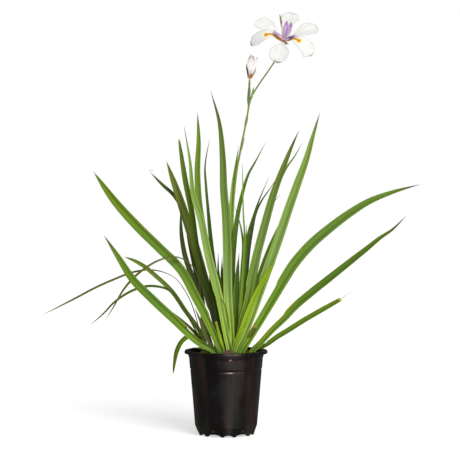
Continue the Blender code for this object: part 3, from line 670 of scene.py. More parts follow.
print("node groups so far:", [group.name for group in bpy.data.node_groups])

# %% Geometry tree for leaves and stalks
FOLD_ROUNDING = 0.012
# How fast the ripple changes along a metre of leaf, and across half its width.
RIPPLE_PLACE = (16.0, 0.7)


def make_sweep_tree():
    inputs = {
        "Points Round": ("Int", 40), "Ribs": ("Float", 5.0), "Rib Height": ("Float", 0.1 * MM),
        "Ripple": ("Float", 0.8 * MM), "Finish": ("Material", None),
    }
    tree, taken, given_out = geometry_tree("sweep_leaves", inputs)
    round_inputs = {"Resolution": taken["Points Round"], "Radius": MM}
    ring = joined("GeometryNodeCurvePrimitiveCircle", round_inputs, mode="RADIUS")
    place = joined("ShaderNodeSeparateXYZ", {0: put(tree, "GeometryNodeInputPosition")})
    ring = stored(stored(ring, "across", place["X"] / MM), "skin", place["Y"] / MM)
    lines = joined("GeometryNodeMeshToCurve", {"Mesh": taken["Geometry"]})
    swept = joined("GeometryNodeCurveToMesh", {"Curve": lines, "Profile Curve": ring, "Fill Caps": True})
    across, skin, left, right, thick, crease = named(tree, "across skin left right thick crease")
    run, seed, leafy = named(tree, "run seed leafy")
    middle, side, face = named(tree, "middle side face", "FLOAT_VECTOR")
    out = worked("MINIMUM", across, 0.0) * left + worked("MAXIMUM", across, 0.0) * right
    level = across * across + FOLD_ROUNDING
    fold = (1.0 - worked("SQRT", level)) * crease
    wall = thick + worked("COSINE", across * taken["Ribs"] * math.pi) * taken["Rib Height"] * leafy
    shake = noise_at(vector_of(run * RIPPLE_PLACE[0], across * RIPPLE_PLACE[1], seed), 1.0, 1.0)
    lift = (shake - 0.5) * taken["Ripple"] * level * leafy * 2.0
    off = vector_worked("ADD", scaled(side, out), scaled(face, fold + lift + skin * wall))
    position = vector_worked("ADD", middle, off)
    moved = joined("GeometryNodeSetPosition", {"Geometry": swept, "Position": position})
    end_tree(moved, taken["Finish"], given_out)
    return tree


sweep_leaves = make_sweep_tree()
print("tree", sweep_leaves.name, "has", len(sweep_leaves.nodes), "nodes")

# %% Lines for the tree
LENGTHS = ("left", "right", "thick", "crease", "run", "to_tip")
SHARES = ("along", "seed", "light", "warm", "dry", "aged", "blush", "leafy")
ONLY_FOR_THE_TREE = ("side", "face", "middle", "skin", "left", "right", "thick", "crease")
# What a line says that has no tip to wither: its tip is this many millimetres away.
NO_TIP = 200.0


def sides_of(middle, turns, guide=(0.0, 1.0, 0.0)):
    """Which way is sideways and which way a leaf's face looks, along its middle line."""
    sides = []
    faces = []
    for ahead, turn in zip(np.gradient(middle, axis=0), turns):
        ahead = Vector(ahead).normalized()
        side = Vector(guide).cross(ahead).normalized()
        sides.append((Matrix.Rotation(math.radians(turn), 3, ahead) @ side).normalized())
        faces.append(ahead.cross(sides[-1]))
    return np.array(sides), np.array(faces)


def line_of(middle, turns, shares, length, half, **look):
    """A line for the sweep: values at each of its points, or one value for them all.
    half is its half width, and its half thickness too unless the look says another."""
    side, face = sides_of(middle, turns)
    line = {
        "middle": middle, "side": side, "face": face, "along": shares, "run": shares * length,
        "left": half, "right": half, "thick": half, "crease": 0.0, "light": 1.0, "warm": 0.5,
        "dry": 0.0, "aged": 0.0, "blush": 0.0, "leafy": 0.0, "to_tip": NO_TIP,
    }
    return {**line, **look}


def swept_mesh(name, lines, finish, points_round=40, ribs=5.0, rib_height=0.1, ripple=0.8):
    """One object of all these lines."""
    counts = [len(line["middle"]) for line in lines]
    starts = np.cumsum([0, *counts]).tolist()
    edges = [(k, k + 1) for start, end in zip(starts, starts[1:]) for k in range(start, end - 1)]
    numbers = {}
    for keys, unit in ((LENGTHS, MM), (SHARES, 1.0)):
        for key in keys:
            parts = [line[key] + np.zeros(count) for line, count in zip(lines, counts)]
            numbers[key] = unit * np.concatenate(parts)
    vectors = {key: np.concatenate([line[key] for line in lines]) for key in ("side", "face", "middle")}
    middle = vectors["middle"]
    made = mesh_object(name, middle, edges, [], numbers, {**vectors, "middle": middle * MM})
    sizes = {"Rib Height": rib_height * MM, "Ripple": ripple * MM}
    run_tree(made, sweep_leaves, {**sizes, "Points Round": points_round, "Ribs": ribs, "Finish": finish})
    for key in ONLY_FOR_THE_TREE:
        made.data.attributes.remove(made.data.attributes[key])
    return made


print("each line carries", len(LENGTHS + SHARES), "numbers and 3 vectors a point")

# %% [markdown]
# ## The leaves, one by one
# Every leaf of the real plant leans and bends in its own way, so each has its own
# entry here: the points that its middle passes as one faces the plant, how far its tip
# stands forward or back, its width, and the turn of its flat side. The last numbers are
# its look: how light, how warm a green, how dry its tip, and how far gone to straw. How
# light a leaf is holds its own tone and painted shade as well: leaves that stand in
# shade, mostly at the back, are given a low light.

# %% The leaf table


def blade(path, depth, width, turn=(0, 0), step=None, tip=0.0, look=(1.0, 0.4, 0.2, 0.0), **more):
    """One sword leaf. path holds (x, z) points above the crown. depth is how far its tip
    stands behind the crown (+) or in front of it (-), or several such depths at even
    steps. turn is the angle of its flat side at even steps from root to tip. step is where
    its folded sheath opens, as (share of the length, edge: -1 left or 1 right), and tip
    is the share of its width that a cut end keeps. look is (light, warm, dry, aged).
    blush is how red its foot is, fade is how much darker it grows towards its tip, and a
    high taper is blunt."""
    depths = (0.0, 0.38 * depth, depth) if isinstance(depth, (int, float)) else depth
    leaf = {"path": path, "depths": depths, "width": width, "turn": turn, "step": step, "tip": tip}
    return {**leaf, "look": look, "blush": 0.0, "fade": 0.06, "taper": 4.2, **more}


FANS = {
    "fan_front_left": {"crown": (-14, -23), "size": (15, 7), "blades": [
        blade([(-14, 164), (-27, 195), (-52, 245), (-81, 299), (-116, 335), (-151, 370), (-194, 419),
              (-228, 468)], -85, 16.5, (8, -14), (0.22, 1), look=(0.8, 0.52, 1, 0), taper=11),
        blade([(-46, 166), (-94, 212), (-131, 249), (-162, 283), (-184, 320), (-207, 359)], -118, 15.5,
              (-16, 20), (0.3, 1), look=(0.8, 0.36, 0.3, 0), taper=6),
        blade([(-42, 155), (-60, 157)], -3, 7, (50, 60), look=(0.9, 0.9, 0.2, 0)),
    ]},
    "fan_back_left": {"crown": (-16, 18), "size": (12, 6), "blades": [
        blade([(-18, 191), (-37, 265), (-61, 348), (-85, 420), (-112, 495)], 95, 17, (-10, 15), (0.26, -1),
              look=(0.52, 1.2, 0.7, 0.24), fade=-0.5, taper=9),
        blade([(-33, 240), (-55, 325), (-78, 398), (-97, 430), (-119, 450), (-143, 474)], 112, 8, (20, 12),
              look=(0.38, 0.45, 1, 0.1), taper=14),
        blade([(-48, 240), (-64, 286), (-75, 318), (-82, 356), (-84, 408)], 58, 10.5, (0, 6),
              look=(0.24, 0.85, 0.2, 0.1), taper=6),
        blade([(-37, 187), (-45, 241), (-56, 295), (-68, 345), (-76, 382)], 66, 11, (5, 15),
              look=(0.36, 0.75, 0.2, 0.18), taper=6),
        blade([(-28, 247), (-41, 284), (-53, 332), (-64, 405), (-73, 447), (-87, 534)], 55, 11.5, (20, 24),
              None, 0.05, look=(0.52, 0.8, 1, 0), taper=11),
        blade([(-38, 176), (-48, 205), (-57, 226)], 6, 7, (20, 40), look=(0.44, 0.9, 1, 0.28)),
        blade([(-12, 165), (-17, 205), (-24, 250), (-31, 296)], 10, 12, (5, 10), look=(0.36, 0.5, 0.1, 0)),
        blade([(-5, 240), (0, 330), (-3, 420), (-6, 452)], 116, 12, (30, 10), look=(0.45, 0.35, 0.2, 0)),
    ]},
    "fan_arching_left": {"crown": (-40, 3), "size": (9, 7), "blades": [
        blade([(-47, 183), (-73, 220), (-99, 257), (-128, 284), (-149, 301), (-169, 312), (-185, 318)], 22,
              8.5, (30, 12), look=(0.33, 1.4, 0.7, 0.06), fade=-0.9, taper=14),
        blade([(-50, 195), (-61, 230), (-75, 258), (-92, 279), (-114, 290), (-141, 294), (-164, 291),
              (-208, 275), (-241, 260), (-275, 242), (-308, 225), (-338, 210)], (0, 12, 25, 40, 58), 5.4,
              (86, 87, 84, 44, 28, 22), look=(0.46, 0.8, 0.6, 0.3), taper=7),
        blade([(-44, 190), (-46, 240), (-50, 286), (-62, 306), (-77, 317), (-93, 321), (-115, 316),
              (-144, 299), (-165, 281), (-182, 260), (-198, 232), (-214, 207)], (0, -2, -30, -84, -62, -58),
              5.6, (88, 88, 88, 60, 20, 14), look=(0.52, 0.9, 0.6, 0.3), taper=7),
        blade([(-54, 186), (-76, 226), (-92, 250), (-105, 261), (-122, 266), (-139, 267), (-160, 262),
              (-182, 251), (-200, 238), (-221, 216), (-242, 198)], (0, -9, -16, -18, -18), 7, (84, 30),
              look=(0.48, 0.75, 0.6, 0.12), taper=6),
        blade([(-57, 183), (-77, 203), (-99, 222)], -14, 8, (40, 50), look=(0.42, 0.65, 0.6, 0.3)),
        blade([(-50, 170), (-64, 176), (-78, 168), (-88, 151), (-93, 128), (-95.5, 107)], 4, 9.5, (40, 15),
              None, 0.05, look=(0.6, 1.2, 1, 0), taper=8),
    ]},
    "fan_centre": {"crown": (3, -3), "size": (13, 7), "blades": [
        blade([(1, 173), (-6, 210), (-13, 247), (-31, 320), (-47, 393), (-57, 424), (-64, 490), (-74, 551)],
              -32, 16.5, (6, 60), (0.3, -1), look=(1.34, 0.55, 0.2, 0.18)),
        blade([(-12, 235), (-33, 330), (-48, 410), (-52, 470), (-50, 530), (-52, 581)], 44, 12, (10, 14),
              look=(0.79, 0.55, 0.2, 0), taper=9),
        blade([(-6, 215), (-20, 290), (-28, 350), (-33, 403), (-37, 447), (-39, 485), (-37, 503),
              (-31, 533)], 98, 11, (25, 60), look=(0.5, 0.4, 0.2, 0)),
        blade([(8, 191), (4, 238), (3, 292), (2, 347), (0, 393), (-4, 440), (-6, 500), (-12, 560),
              (-27, 615)], -12, 16.5, (-10, 28), (0.18, -1), look=(1.54, 0.36, 0.1, 0.15), fade=0.8),
        blade([(-9, 259), (-14, 292), (-14, 324)], 24, 8, (10, 30), look=(0.66, 0.45, 0.1, 0)),
        blade([(-6, 255), (-8, 286), (-7, 318)], 44, 9, (20, 40), look=(0.5, 0.45, 0.1, 0)),
        blade([(-6, 160), (-14, 187), (-18, 203)], -9, 6.5, (35, 45), None, 0.8, look=(1.5, 1.3, 0.4, 0)),
        blade([(7, 179), (2, 215), (-4, 237), (-11, 247)], -6, 6.5, (40, 50), look=(0.62, 0.9, 0.8, 0)),
    ]},
    "fan_centre_right": {"crown": (17, 11), "size": (9, 6), "blades": [
        blade([(12, 240), (11.5, 288), (13, 322), (16, 355), (21, 392), (29, 430), (37, 458), (43, 473),
              (50, 485), (73, 528)], (0, 0, 0, 24, 74), 11.5, (12, 45), look=(0.6, 0.4, 0.3, 0)),
        blade([(25, 215), (28, 290), (30, 350), (26, 374), (15, 411)], (0, -12, -24, -32), 6.5, (20, 30),
              look=(0.72, 0.12, 0.3, 0)),
        blade([(27, 240), (32, 320), (33, 364), (31, 395), (30, 440), (29.5, 484)], (0, -14, -30, -44), 6.5,
              (25, 60), look=(1, 0.55, 0.3, 0)),
        blade([(15, 241), (18, 274), (21, 301), (24, 327)], -9, 9.5, (15, 20), look=(0.8, 0.3, 0.2, 0)),
        blade([(20, 172), (20.5, 225), (21.5, 275), (23, 322)], 3, 9, (8, 15), look=(0.7, 0.4, 0.2, 0)),
    ]},
    "fan_back_right": {"crown": (37, 15), "size": (10, 6), "blades": [
        blade([(33, 277), (36, 308), (40, 358), (51, 395), (60, 420), (69, 441), (78, 462)], 36, 8,
              (20, 50), look=(0.58, 0.3, 0.5, 0)),
        blade([(36, 265), (38, 293), (43, 338), (48, 367), (55, 397), (67, 422), (82, 443), (91, 457)], 102,
              10.5, (25, 50), look=(0.38, 0.35, 0.4, 0.14)),
        blade([(31, 255), (33, 290), (36, 350), (37.5, 377)], 12, 8.5, (15, 30), look=(0.8, 0.28, 0.2, 0)),
        blade([(47, 265), (61, 327), (70, 364), (80, 398), (91, 421), (99, 431)], 60, 9, (30, 50),
              look=(0.8, 0.85, 0.3, 0)),
        blade([(48, 260), (62, 330), (77, 392), (92, 438), (111, 480), (128, 504), (142, 528)], 84, 9,
              (12, 12), look=(0.72, 0.65, 0.2, 0)),
        blade([(50, 240), (72, 310), (96, 366), (112, 398)], 116, 13, (40, 20), look=(0.48, 0.45, 0.3, 0)),
    ]},
    "fan_front_right": {"crown": (24, -13), "size": (12, 7), "blades": [
        blade([(23, 178), (28, 202), (38, 241), (47, 287), (57, 328), (67, 366), (88, 439), (103, 479),
              (122, 525), (132, 547)], 22, 15.5, (-6, 26), (0.32, -1), look=(1.28, 0.42, 0.1, 0.16),
              fade=0.6, taper=6),
        blade([(31, 178), (41, 202), (58, 250), (74, 296), (95, 356), (110, 401), (126, 447), (142, 492),
              (154, 534), (166, 575)], -34, 17, (6, -18), (0.33, -1), look=(1.26, 0.56, 0.2, 0.14),
              fade=0.14, taper=5.5),
        blade([(27, 185), (46, 236), (60, 266), (76, 293), (87.5, 312)], -30, 10.5, (22, 34), None, 0.06,
              look=(1.2, 1.7, 0.8, 0), taper=9),
        blade([(37, 167), (55, 197), (78, 236), (101, 275), (121, 307), (152, 343), (184, 371), (217, 396),
              (250, 417), (295, 435), (341, 448)], -52, 18.5, (-8, 14), (0.34, -1),
              look=(0.85, 0.48, 0.1, 0), fade=0.2),
        blade([(37, 163), (44, 178), (52, 196)], -15, 12.5, (25, 20), None, 0.55,
              look=(0.84, 0.9, 0.4, 0.16)),
    ]},
    "fan_far_right": {"crown": (46, -7), "size": (7, 5), "blades": [
        blade([(60, 164), (82, 189), (104, 211), (120, 229), (151, 257), (182, 283), (214, 310), (246, 337),
              (268, 356), (285, 368), (308, 392)], -124, 15, (10, 24), (0.3, -1), look=(0.84, 0.48, 0.1, 0),
              blush=1, fade=0.3),
        blade([(70, 160), (93, 177), (110, 188), (136, 206), (169, 227), (201, 247)], -74, 9.5, (-14, 10),
              (0.27, -1), 0.3, look=(0.84, 0.66, 1, 0), taper=8),
    ]},
}
print(sum(len(fan["blades"]) for fan in FANS.values()), "leaves in", len(FANS), "fans")

# %% [markdown]
# ## From the table to lines
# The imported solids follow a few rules, and the fine leaves follow the same ones: the
# blade is widest before its middle and tapers to its tip, it is folded along its middle
# near the root, and its root runs down into the fan's crown.

# %% Shape of a leaf
CROWN_BOTTOM = 117.0
CROWN_TOP = 149.0
ROOT_Z = 127.0
BLADE_HALF_THICK = 0.45
THINNED_TO_TIP = 0.55
ROOT_SHARE = 0.70
WIDEST_AT = 0.45
FOLD_SHARE = 0.24
FOLD_ENDS_AT = 0.42
KEEL_SHARE = 0.05
SHEATH_SHARE = 0.74
STEP_SPAN = 0.012
LAYER_SHARE = 0.55
FOOT_LAYER_SHARE = 0.95
FOOT_LAYER_TO = 190.0
BACK_SHADE = 0.42
SHADE_HEIGHT = 70.0
FOOT_REACH = 1.1
FOOT_MARGIN = 1.5
ROOT_NARROWS = 0.3
FOOT_WIDTH = 0.8
DEPTH_POWER = 1.4
TIP_HALF_WIDTH = 0.18
ROW_STEP = 6.0
FEWEST_ROWS = 16

draws = np.random.default_rng(11)


def half_width(share, width, taper):
    """Half of a blade's width at this share of its length."""
    rise = ROOT_SHARE + (1 - ROOT_SHARE) * np.sin(np.minimum(share / WIDEST_AT, 1.0) * math.pi / 2)
    return 0.5 * width * rise * (1 - share**taper)


def blade_line(leaf, crown, crown_size, layer):
    """The (x, z) points of a blade's middle, from its root inside the crown to its tip."""
    (x0, z0), (x1, z1) = leaf["path"][:2]
    lean = (x1 - x0) / max(z1 - z0, 1.0)
    chord = crown_size[0] * math.sqrt(1 - (LAYER_SHARE * abs(layer) + FOOT_MARGIN / crown_size[1]) ** 2)
    reach = max(FOOT_REACH * chord - 0.5 * ROOT_SHARE * leaf["width"], 0.0)
    foot = max(-reach, min(reach, x0 - lean * (z0 - CROWN_TOP) - crown[0]))
    return [(crown[0] + ROOT_NARROWS * foot, ROOT_Z), (crown[0] + foot, CROWN_TOP), *leaf["path"]]


def at_even_steps(shares, values):
    return np.interp(shares, np.linspace(0, 1, len(values)), values)


def depths_at(leaf, shares, crown_share):
    """How far behind the crown the blade stands at each share of its length."""
    out = np.clip((shares - crown_share) / (1 - crown_share), 0, 1)
    if len(leaf["depths"]) == 3:
        return leaf["depths"][-1] * out**DEPTH_POWER
    return at_even_steps(out, leaf["depths"])


def leaf_line(leaf, crown, crown_size, layer=0.0):
    """The line of one leaf for the sweep: its middle, sides, widths, fold and look."""
    line = blade_line(leaf, crown, crown_size, layer)
    length = smooth_line(line, [1.0])[1]
    shares = np.linspace(0, 1, max(FEWEST_ROWS, round(length / ROW_STEP)))
    if leaf["step"]:
        opening = leaf["step"][0] + STEP_SPAN * np.linspace(-1, 1, 5)
        shares = np.sort(np.concatenate([shares, opening]))
    x, z = smooth_line(line, shares)[0].T
    spread = np.interp(z, [CROWN_TOP, FOOT_LAYER_TO], [FOOT_LAYER_SHARE, LAYER_SHARE])
    y = depths_at(leaf, shares, (CROWN_TOP - ROOT_Z) / length) + crown[1] + spread * crown_size[1] * layer
    half = half_width(shares * (1 - 0.5 * leaf["tip"]), leaf["width"], leaf["taper"])
    half = np.maximum(half, TIP_HALF_WIDTH) * np.interp(z, [ROOT_Z, CROWN_TOP], [FOOT_WIDTH, 1.0])
    widths = {"left": half.copy(), "right": half.copy()}
    if leaf["step"]:
        key = "left" if leaf["step"][1] < 0 else "right"
        start, end = (leaf["step"][0] + k * STEP_SPAN for k in (-1, 1))
        widths[key] *= np.interp(shares, [start, end], [SHEATH_SHARE, 1.0])
    fold = FOLD_SHARE * np.maximum(0.0, 1 - shares / FOLD_ENDS_AT) + KEEL_SHARE
    light, warm, dry, aged = leaf["look"]
    # Painted shade: the leaves further back in a fan are darker low down, near the crown, as if shaded by
    # those in front.
    behind = BACK_SHADE * 0.5 * (1 + layer) * np.exp(-np.maximum(z - CROWN_TOP, 0) / SHADE_HEIGHT)
    return line_of(
        np.stack([x, y, z], axis=1), at_even_steps(shares, leaf["turn"]), shares, length, half, **widths,
        thick=BLADE_HALF_THICK * (1 - THINNED_TO_TIP * shares**3), crease=fold * 2 * half,
        light=light * (1 - leaf["fade"] * shares) * (1 - behind), warm=warm, dry=dry, aged=aged,
        seed=draws.uniform(0, 40), blush=leaf["blush"], leafy=1.0, to_tip=(1 - shares) * length,
    )


print("a leaf of 16 mm is", round(2 * half_width(WIDEST_AT, 16.0, 4.2), 1), "mm wide at its widest")

# %% [markdown]
# ## The crowns and the fans
# Where the leaves of a fan meet, their folded bases wrap one round the other in a flat
# stump. A stack of oval rings with a few deep pleats gives that look, and the stump is
# painted dark, as painted shade deep between the leaves. Thin dry strands hang on where
# a leaf's tip has withered and curled.

# %% Crowns and strands
CROWN_POINTS = 72
CROWN_ROWS = 22
CROWN_PLEATS = 7
PLEAT_DEPTH = 0.045
CROWN_TAPER = 0.86
# From which share of its height a crown rounds off and by how much, and from which share
# its rim grows uneven and by how many millimetres at most for each share.
SHOULDER = (0.85, 0.10)
CROWN_UNEVEN = (0.7, 0.9)
# Painted shade: the crowns are dark, for the shade deep between the leaves.
CROWN_SHADED_LIGHT = 0.40
CROWN_SLIM = 0.70
STRAND_ROWS = 14
STRAND_TWIST = 60
STRAND_TAPER = 0.75
# Dry strands at withered tips: points as (x, y, z), and the half width at the start.
STRANDS = {
    "fan_back_left": (
        [(-142, 129.5, 473), (-144, 130, 476.5), (-141.5, 130, 479), (-138, 130, 477.5), (-137, 129, 474)],
        0.7,
    ),
    "fan_far_right": (
        [(199, -79.5, 246), (205, -81, 250.5), (212, -82, 256), (219, -82.5, 259.5), (223, -83, 259)],
        0.9,
    ),
    "fan_front_left": ([(-226.5, -106.5, 466), (-228.5, -107.5, 469), (-231, -108, 470)], 0.8),
}


def crown_body(name, place, size, finish):
    """The pleated stump that a fan's leaves rise from."""
    turns = full_turn(CROWN_POINTS)
    share = np.linspace(0, 1, CROWN_ROWS)[:, None]
    seed = draws.uniform(0, 40)
    rounding = SHOULDER[1] * np.maximum(0.0, share - SHOULDER[0]) / (1 - SHOULDER[0])
    crest = np.abs(np.sin(0.5 * CROWN_PLEATS * turns + seed + 0.5 * share))
    out = (1 + (CROWN_TAPER - 1) * share - rounding) * (1 - PLEAT_DEPTH * (1 - crest))
    uneven = CROWN_UNEVEN[1] * np.sin(3 * turns + seed) * np.maximum(0.0, share - CROWN_UNEVEN[0])
    x = place[0] + size[0] * out * np.cos(turns)
    y = place[1] + CROWN_SLIM * size[1] * out * np.sin(turns)
    z = CROWN_BOTTOM + (CROWN_TOP - CROWN_BOTTOM) * share + uneven
    numbers = {
        "across": 0.7 * np.cos(CROWN_PLEATS * turns), "along": 0.3 * share, "run": 0.03 * share,
        "seed": seed, "light": CROWN_SHADED_LIGHT, "warm": 0.6, "dry": 0.0, "aged": 0.35 * (1 - share),
        "blush": 0.0, "leafy": 1.0, "to_tip": 0.2,
    }
    return ring_surface(name, np.stack([x, y, z], axis=2), numbers, finish)


def strand_line(points, start_half_width):
    """A thin dry strand for the sweep."""
    shares = np.linspace(0, 1, STRAND_ROWS)
    middle, length = smooth_line(points, shares)
    half = start_half_width * (1 - STRAND_TAPER * shares)
    line = line_of(middle, STRAND_TWIST * shares, shares, length, half, aged=1.0, seed=3.0)
    return {**line, "thick": 0.45 * half, "crease": 0.3 * half, "run": line["run"] + NO_TIP}


print("dry strands hang in", len(STRANDS), "fans")

# %% Build the fans


def make_fan(name, fan):
    front_to_back = sorted(fan["blades"], key=lambda leaf: leaf["depths"][-1])
    layers = np.linspace(-1, 1, len(front_to_back))
    seat = fan["crown"], fan["size"]
    lines = [leaf_line(leaf, *seat, layer) for leaf, layer in zip(front_to_back, layers)]
    if name in STRANDS:
        lines.append(strand_line(*STRANDS[name]))
    leaves = swept_mesh(name + "_leaves", lines, leaf_skin)
    crown = crown_body(name + "_crown", *seat, leaf_skin)
    seat_piece(one_object(name + "_living", [leaves, crown]), "leaf", name)


for fan_name, fan in FANS.items():
    make_fan(fan_name, fan)

# %% [markdown]
# ## The pot's plastic
# The pot is a thin black nursery pot, satin on its wall, with fine scuffs where pots
# are stacked one in another, a little brown dust near its base, and faint upright
# waves from the mould. The plastic is nearly black, so its look lies in its gloss, and
# the patches go mostly to the roughness. Two small warm highlights, where the front
# ridges mirror a lamp, are painted into its colour.

# %% Pot plastic
POT_BLACK = seen_colour(9, 6, 5)
POT_BROWN = seen_colour(46, 25, 13)
POT_DUST = seen_colour(72, 62, 52)
# The warm pale colour of the painted highlights on the ridges.
POT_PAINTED_GLINT = seen_colour(184, 132, 100)
# Painted highlights: warm glints where the two front ridges mirror a lamp, as (x, y, z),
# and how far each fades out, in metres.
PAINTED_GLINT_SPOTS = [(0.008, -0.068, 0.1385), (0.009, -0.066, 0.1155)]
PAINTED_GLINT_REACH = (0.0050, 0.0200, 0.0020)
DRAWN_UPRIGHT = (1.0, 1.0, 0.16)
SCRATCH_SCALE = (1.0, 1.0, 9.0)
SCRATCH_TURN = (0.12, 0.05, 0.0)


def painted_glint(place, spot):
    """1 in the middle of a painted highlight, fading to 0 all round."""
    shrink = [1 / reach for reach in PAINTED_GLINT_REACH]
    home = [-at * by for at, by in zip(spot, shrink)]
    off = joined("ShaderNodeMapping", {"Vector": place, "Location": home, "Scale": shrink})
    return stepped(vector_worked("LENGTH", off)["Value"], 1.0, 0.1)


def make_plastic():
    made, tree, shader = new_finish("black_plastic", 0.40, 0.22)
    place = object_place(tree)
    upright = object_place(tree, DRAWN_UPRIGHT)
    level = joined("ShaderNodeSeparateXYZ", {0: place})["Z"]
    smears = patches(upright, 34.0, 0.42, 0.72)
    specks = patches(place, 420.0, 0.66, 0.74)
    scratches = patches(object_place(tree, SCRATCH_SCALE, SCRATCH_TURN), 60.0, 0.66, 0.70)
    dull = patches(place, 24.0, 0.40, 0.60)
    dusty = smears * stepped(level, 0.035, 0.0, 0.05, 0.30)
    skin = blend(smears * 0.55, POT_BLACK, POT_BROWN)
    for share in (dusty, specks * 0.14, scratches * 0.16):
        skin = blend(share, skin, POT_DUST)
    for spot in PAINTED_GLINT_SPOTS:
        # Painted highlights on the two front ridges, mixed into the plastic's colour.
        skin = blend(painted_glint(place, spot) * 0.70, skin, POT_PAINTED_GLINT)
    rough = 0.30 + smears * 0.12 + dull * 0.18 + scratches * 0.2 - stepped(level, 0.146, 0.150) * 0.08
    height = noise_at(place, 900.0) * 0.06 + noise_at(upright, 40.0, 1.0)
    feed(shader, {"Base Color": skin, "Roughness": rough, "Normal": bumps(height, 0.5, 0.0006)})
    return made


black_plastic = make_plastic()
print("plastic has", len(black_plastic.node_tree.nodes), "nodes")

# %% [markdown]
# ## The pot
# A turned shape is a profile that goes once round an axis. The profile here is the
# packed pot's own, with its corners rounded into short arcs. The feet are not cut out:
# the bottom edge is lifted between them by a formula, which keeps the mesh clean. Only
# the drain holes are cut, with short rods, because they go through the wall.

# %% Profile of the pot
RIM_Z = 151.0
FOOT_RADIUS = 50.8
POT_OUTSIDE = [
    (66.9, RIM_Z), (73.6, RIM_Z), (74.8, 149.6), (74.8, 145.4), (73.2, 145.4), (73.2, 149.2), (68.8, 149.2),
    (67.9, 140.5), (66.7, 138.3), (65.2, 119.8), (63.9, 117.6), (64.3, 114.6), (56.0, 16.0), (54.6, 13.0),
    (51.8, 3.6), (FOOT_RADIUS, 0.0), (46.6, 0.0), (45.8, 5.0), (0.0, 5.0),
]
POT_INSIDE = [(0.0, 6.8), (49.6, 6.8), (53.0, 14.6), (62.6, 117.0), (66.2, 141.0)]
CORNER_CUT = 0.55
LONGEST_CUT_SHARE = 0.45
ARC_SHARES = (0.0, 0.33, 0.67, 1.0)
LONGEST_ROW = 4.0


def rounded_profile(points, cut, longest):
    """The points of a closed profile with each corner turned into a short arc, and
    with long straights split into rows."""
    given = np.array(points, float)
    rounded = [given[0]]
    for before, corner, after in zip(given, given[1:], given[2:]):
        into, out = corner - before, after - corner
        size = min(cut, *(LONGEST_CUT_SHARE * np.linalg.norm(side) for side in (into, out)))
        start = corner - size * into / np.linalg.norm(into)
        end = corner + size * out / np.linalg.norm(out)
        rounded += [(1 - t) ** 2 * start + 2 * t * (1 - t) * corner + t * t * end for t in ARC_SHARES]
    rounded.append(given[-1])
    full = [rounded[0]]
    for before, after in zip(rounded, rounded[1:]):
        parts = max(1, math.ceil(math.dist(before, after) / longest))
        full += [before + (after - before) * k / parts for k in range(1, parts + 1)]
    return full


wall_profile = rounded_profile([*POT_OUTSIDE[::-1], *POT_INSIDE[::-1]], CORNER_CUT, LONGEST_ROW)
print("profile has", len(wall_profile), "points, was", len(POT_OUTSIDE) + len(POT_INSIDE))

# %% Feet, waves and drain holes
POT_STEPS = 240
FOOT_PAIRS = 6
PAIR_SPAN = 360.0 / FOOT_PAIRS
PAIR_START = -85.0
FOOT_FROM_PAIR_CENTRE = 12.0
FOOT_SPAN = 6.0
NARROW_NOTCH = (2 * FOOT_FROM_PAIR_CENTRE - FOOT_SPAN, 3.2)
WIDE_NOTCH = (PAIR_SPAN - 2 * FOOT_FROM_PAIR_CENTRE - FOOT_SPAN, 4.4)
NOTCH_FADES_BY = 9.0
NOTCH_FROM_RADIUS = 44.0
SMALLEST_RADIUS = 0.4
WALL_WAVE = 0.16
WAVE_FROM_RADIUS = 50.0
WAVE_TOP = 140.0
DRAIN_RADIUS = 4.5
DRAIN_LENGTH = 12.0
DRAIN_SEAT = (53.5, 0.0, 8.5)
DRAIN_TILT = 105.0
SHARP_EDGE = 38.0


def notch_lift(bearing):
    """How far the bottom edge is lifted at this bearing, in millimetres."""
    lift = 0.0
    for pair in range(FOOT_PAIRS):
        middle = PAIR_START + pair * PAIR_SPAN
        for centre, (span, height) in ((middle, NARROW_NOTCH), (middle + PAIR_SPAN / 2, WIDE_NOTCH)):
            off = (bearing - centre + 180) % 360 - 180
            lift = max(lift, height * math.sqrt(max(0.0, 1 - (2 * off / span) ** 2)))
    return lift


def drain_rod(bearing):
    """A short rod where a drain hole goes through the wall."""
    form = bmesh.new()
    radius = DRAIN_RADIUS * MM
    bmesh.ops.create_cone(
        form, cap_ends=True, segments=28, radius1=radius, radius2=radius, depth=DRAIN_LENGTH * MM
    )
    seat = Matrix.Translation(MM * Vector(DRAIN_SEAT)) @ Matrix.Rotation(math.radians(DRAIN_TILT), 4, "Y")
    form.transform(Matrix.Rotation(math.radians(bearing), 4, "Z") @ seat)
    mesh = bpy.data.meshes.new("drain_rod")
    form.to_mesh(mesh)
    form.free()
    return bpy.data.objects.new("drain_rod", mesh)


def make_pot():
    bearings = np.linspace(0, 360, POT_STEPS, endpoint=False)
    lifts = np.array([notch_lift(bearing) for bearing in bearings])
    turns = np.radians(bearings)
    rings = []
    for radius, z in wall_profile:
        radius = max(radius, SMALLEST_RADIUS)
        lifted = lifts * (max(0.0, 1 - z / NOTCH_FADES_BY) if radius > NOTCH_FROM_RADIUS else 0.0)
        swell = math.sin(math.pi * min(max(z / WAVE_TOP, 0), 1)) * (radius > WAVE_FROM_RADIUS)
        out = radius + WALL_WAVE * np.sin(5 * turns + 0.03 * z) * swell
        rings.append(np.stack([out * np.cos(turns), out * np.sin(turns), z + lifted], axis=1))
    pot = ring_surface("nursery_pot", rings)
    rods = bpy.data.collections.new("drain_rods")
    for pair in range(FOOT_PAIRS):
        rods.objects.link(drain_rod(PAIR_START + (pair + 0.5) * PAIR_SPAN))
    cut = pot.modifiers.new("drains", "BOOLEAN")
    cut.operand_type = "COLLECTION"
    cut.collection = rods
    cut.solver = "EXACT"
    plain_mesh(pot)
    for rod in list(rods.objects):
        bpy.data.objects.remove(rod, do_unlink=True)
    bpy.data.collections.remove(rods)
    pot.data.set_sharp_from_angle(angle=math.radians(SHARP_EDGE))
    pot.data.materials.append(black_plastic)
    return pot


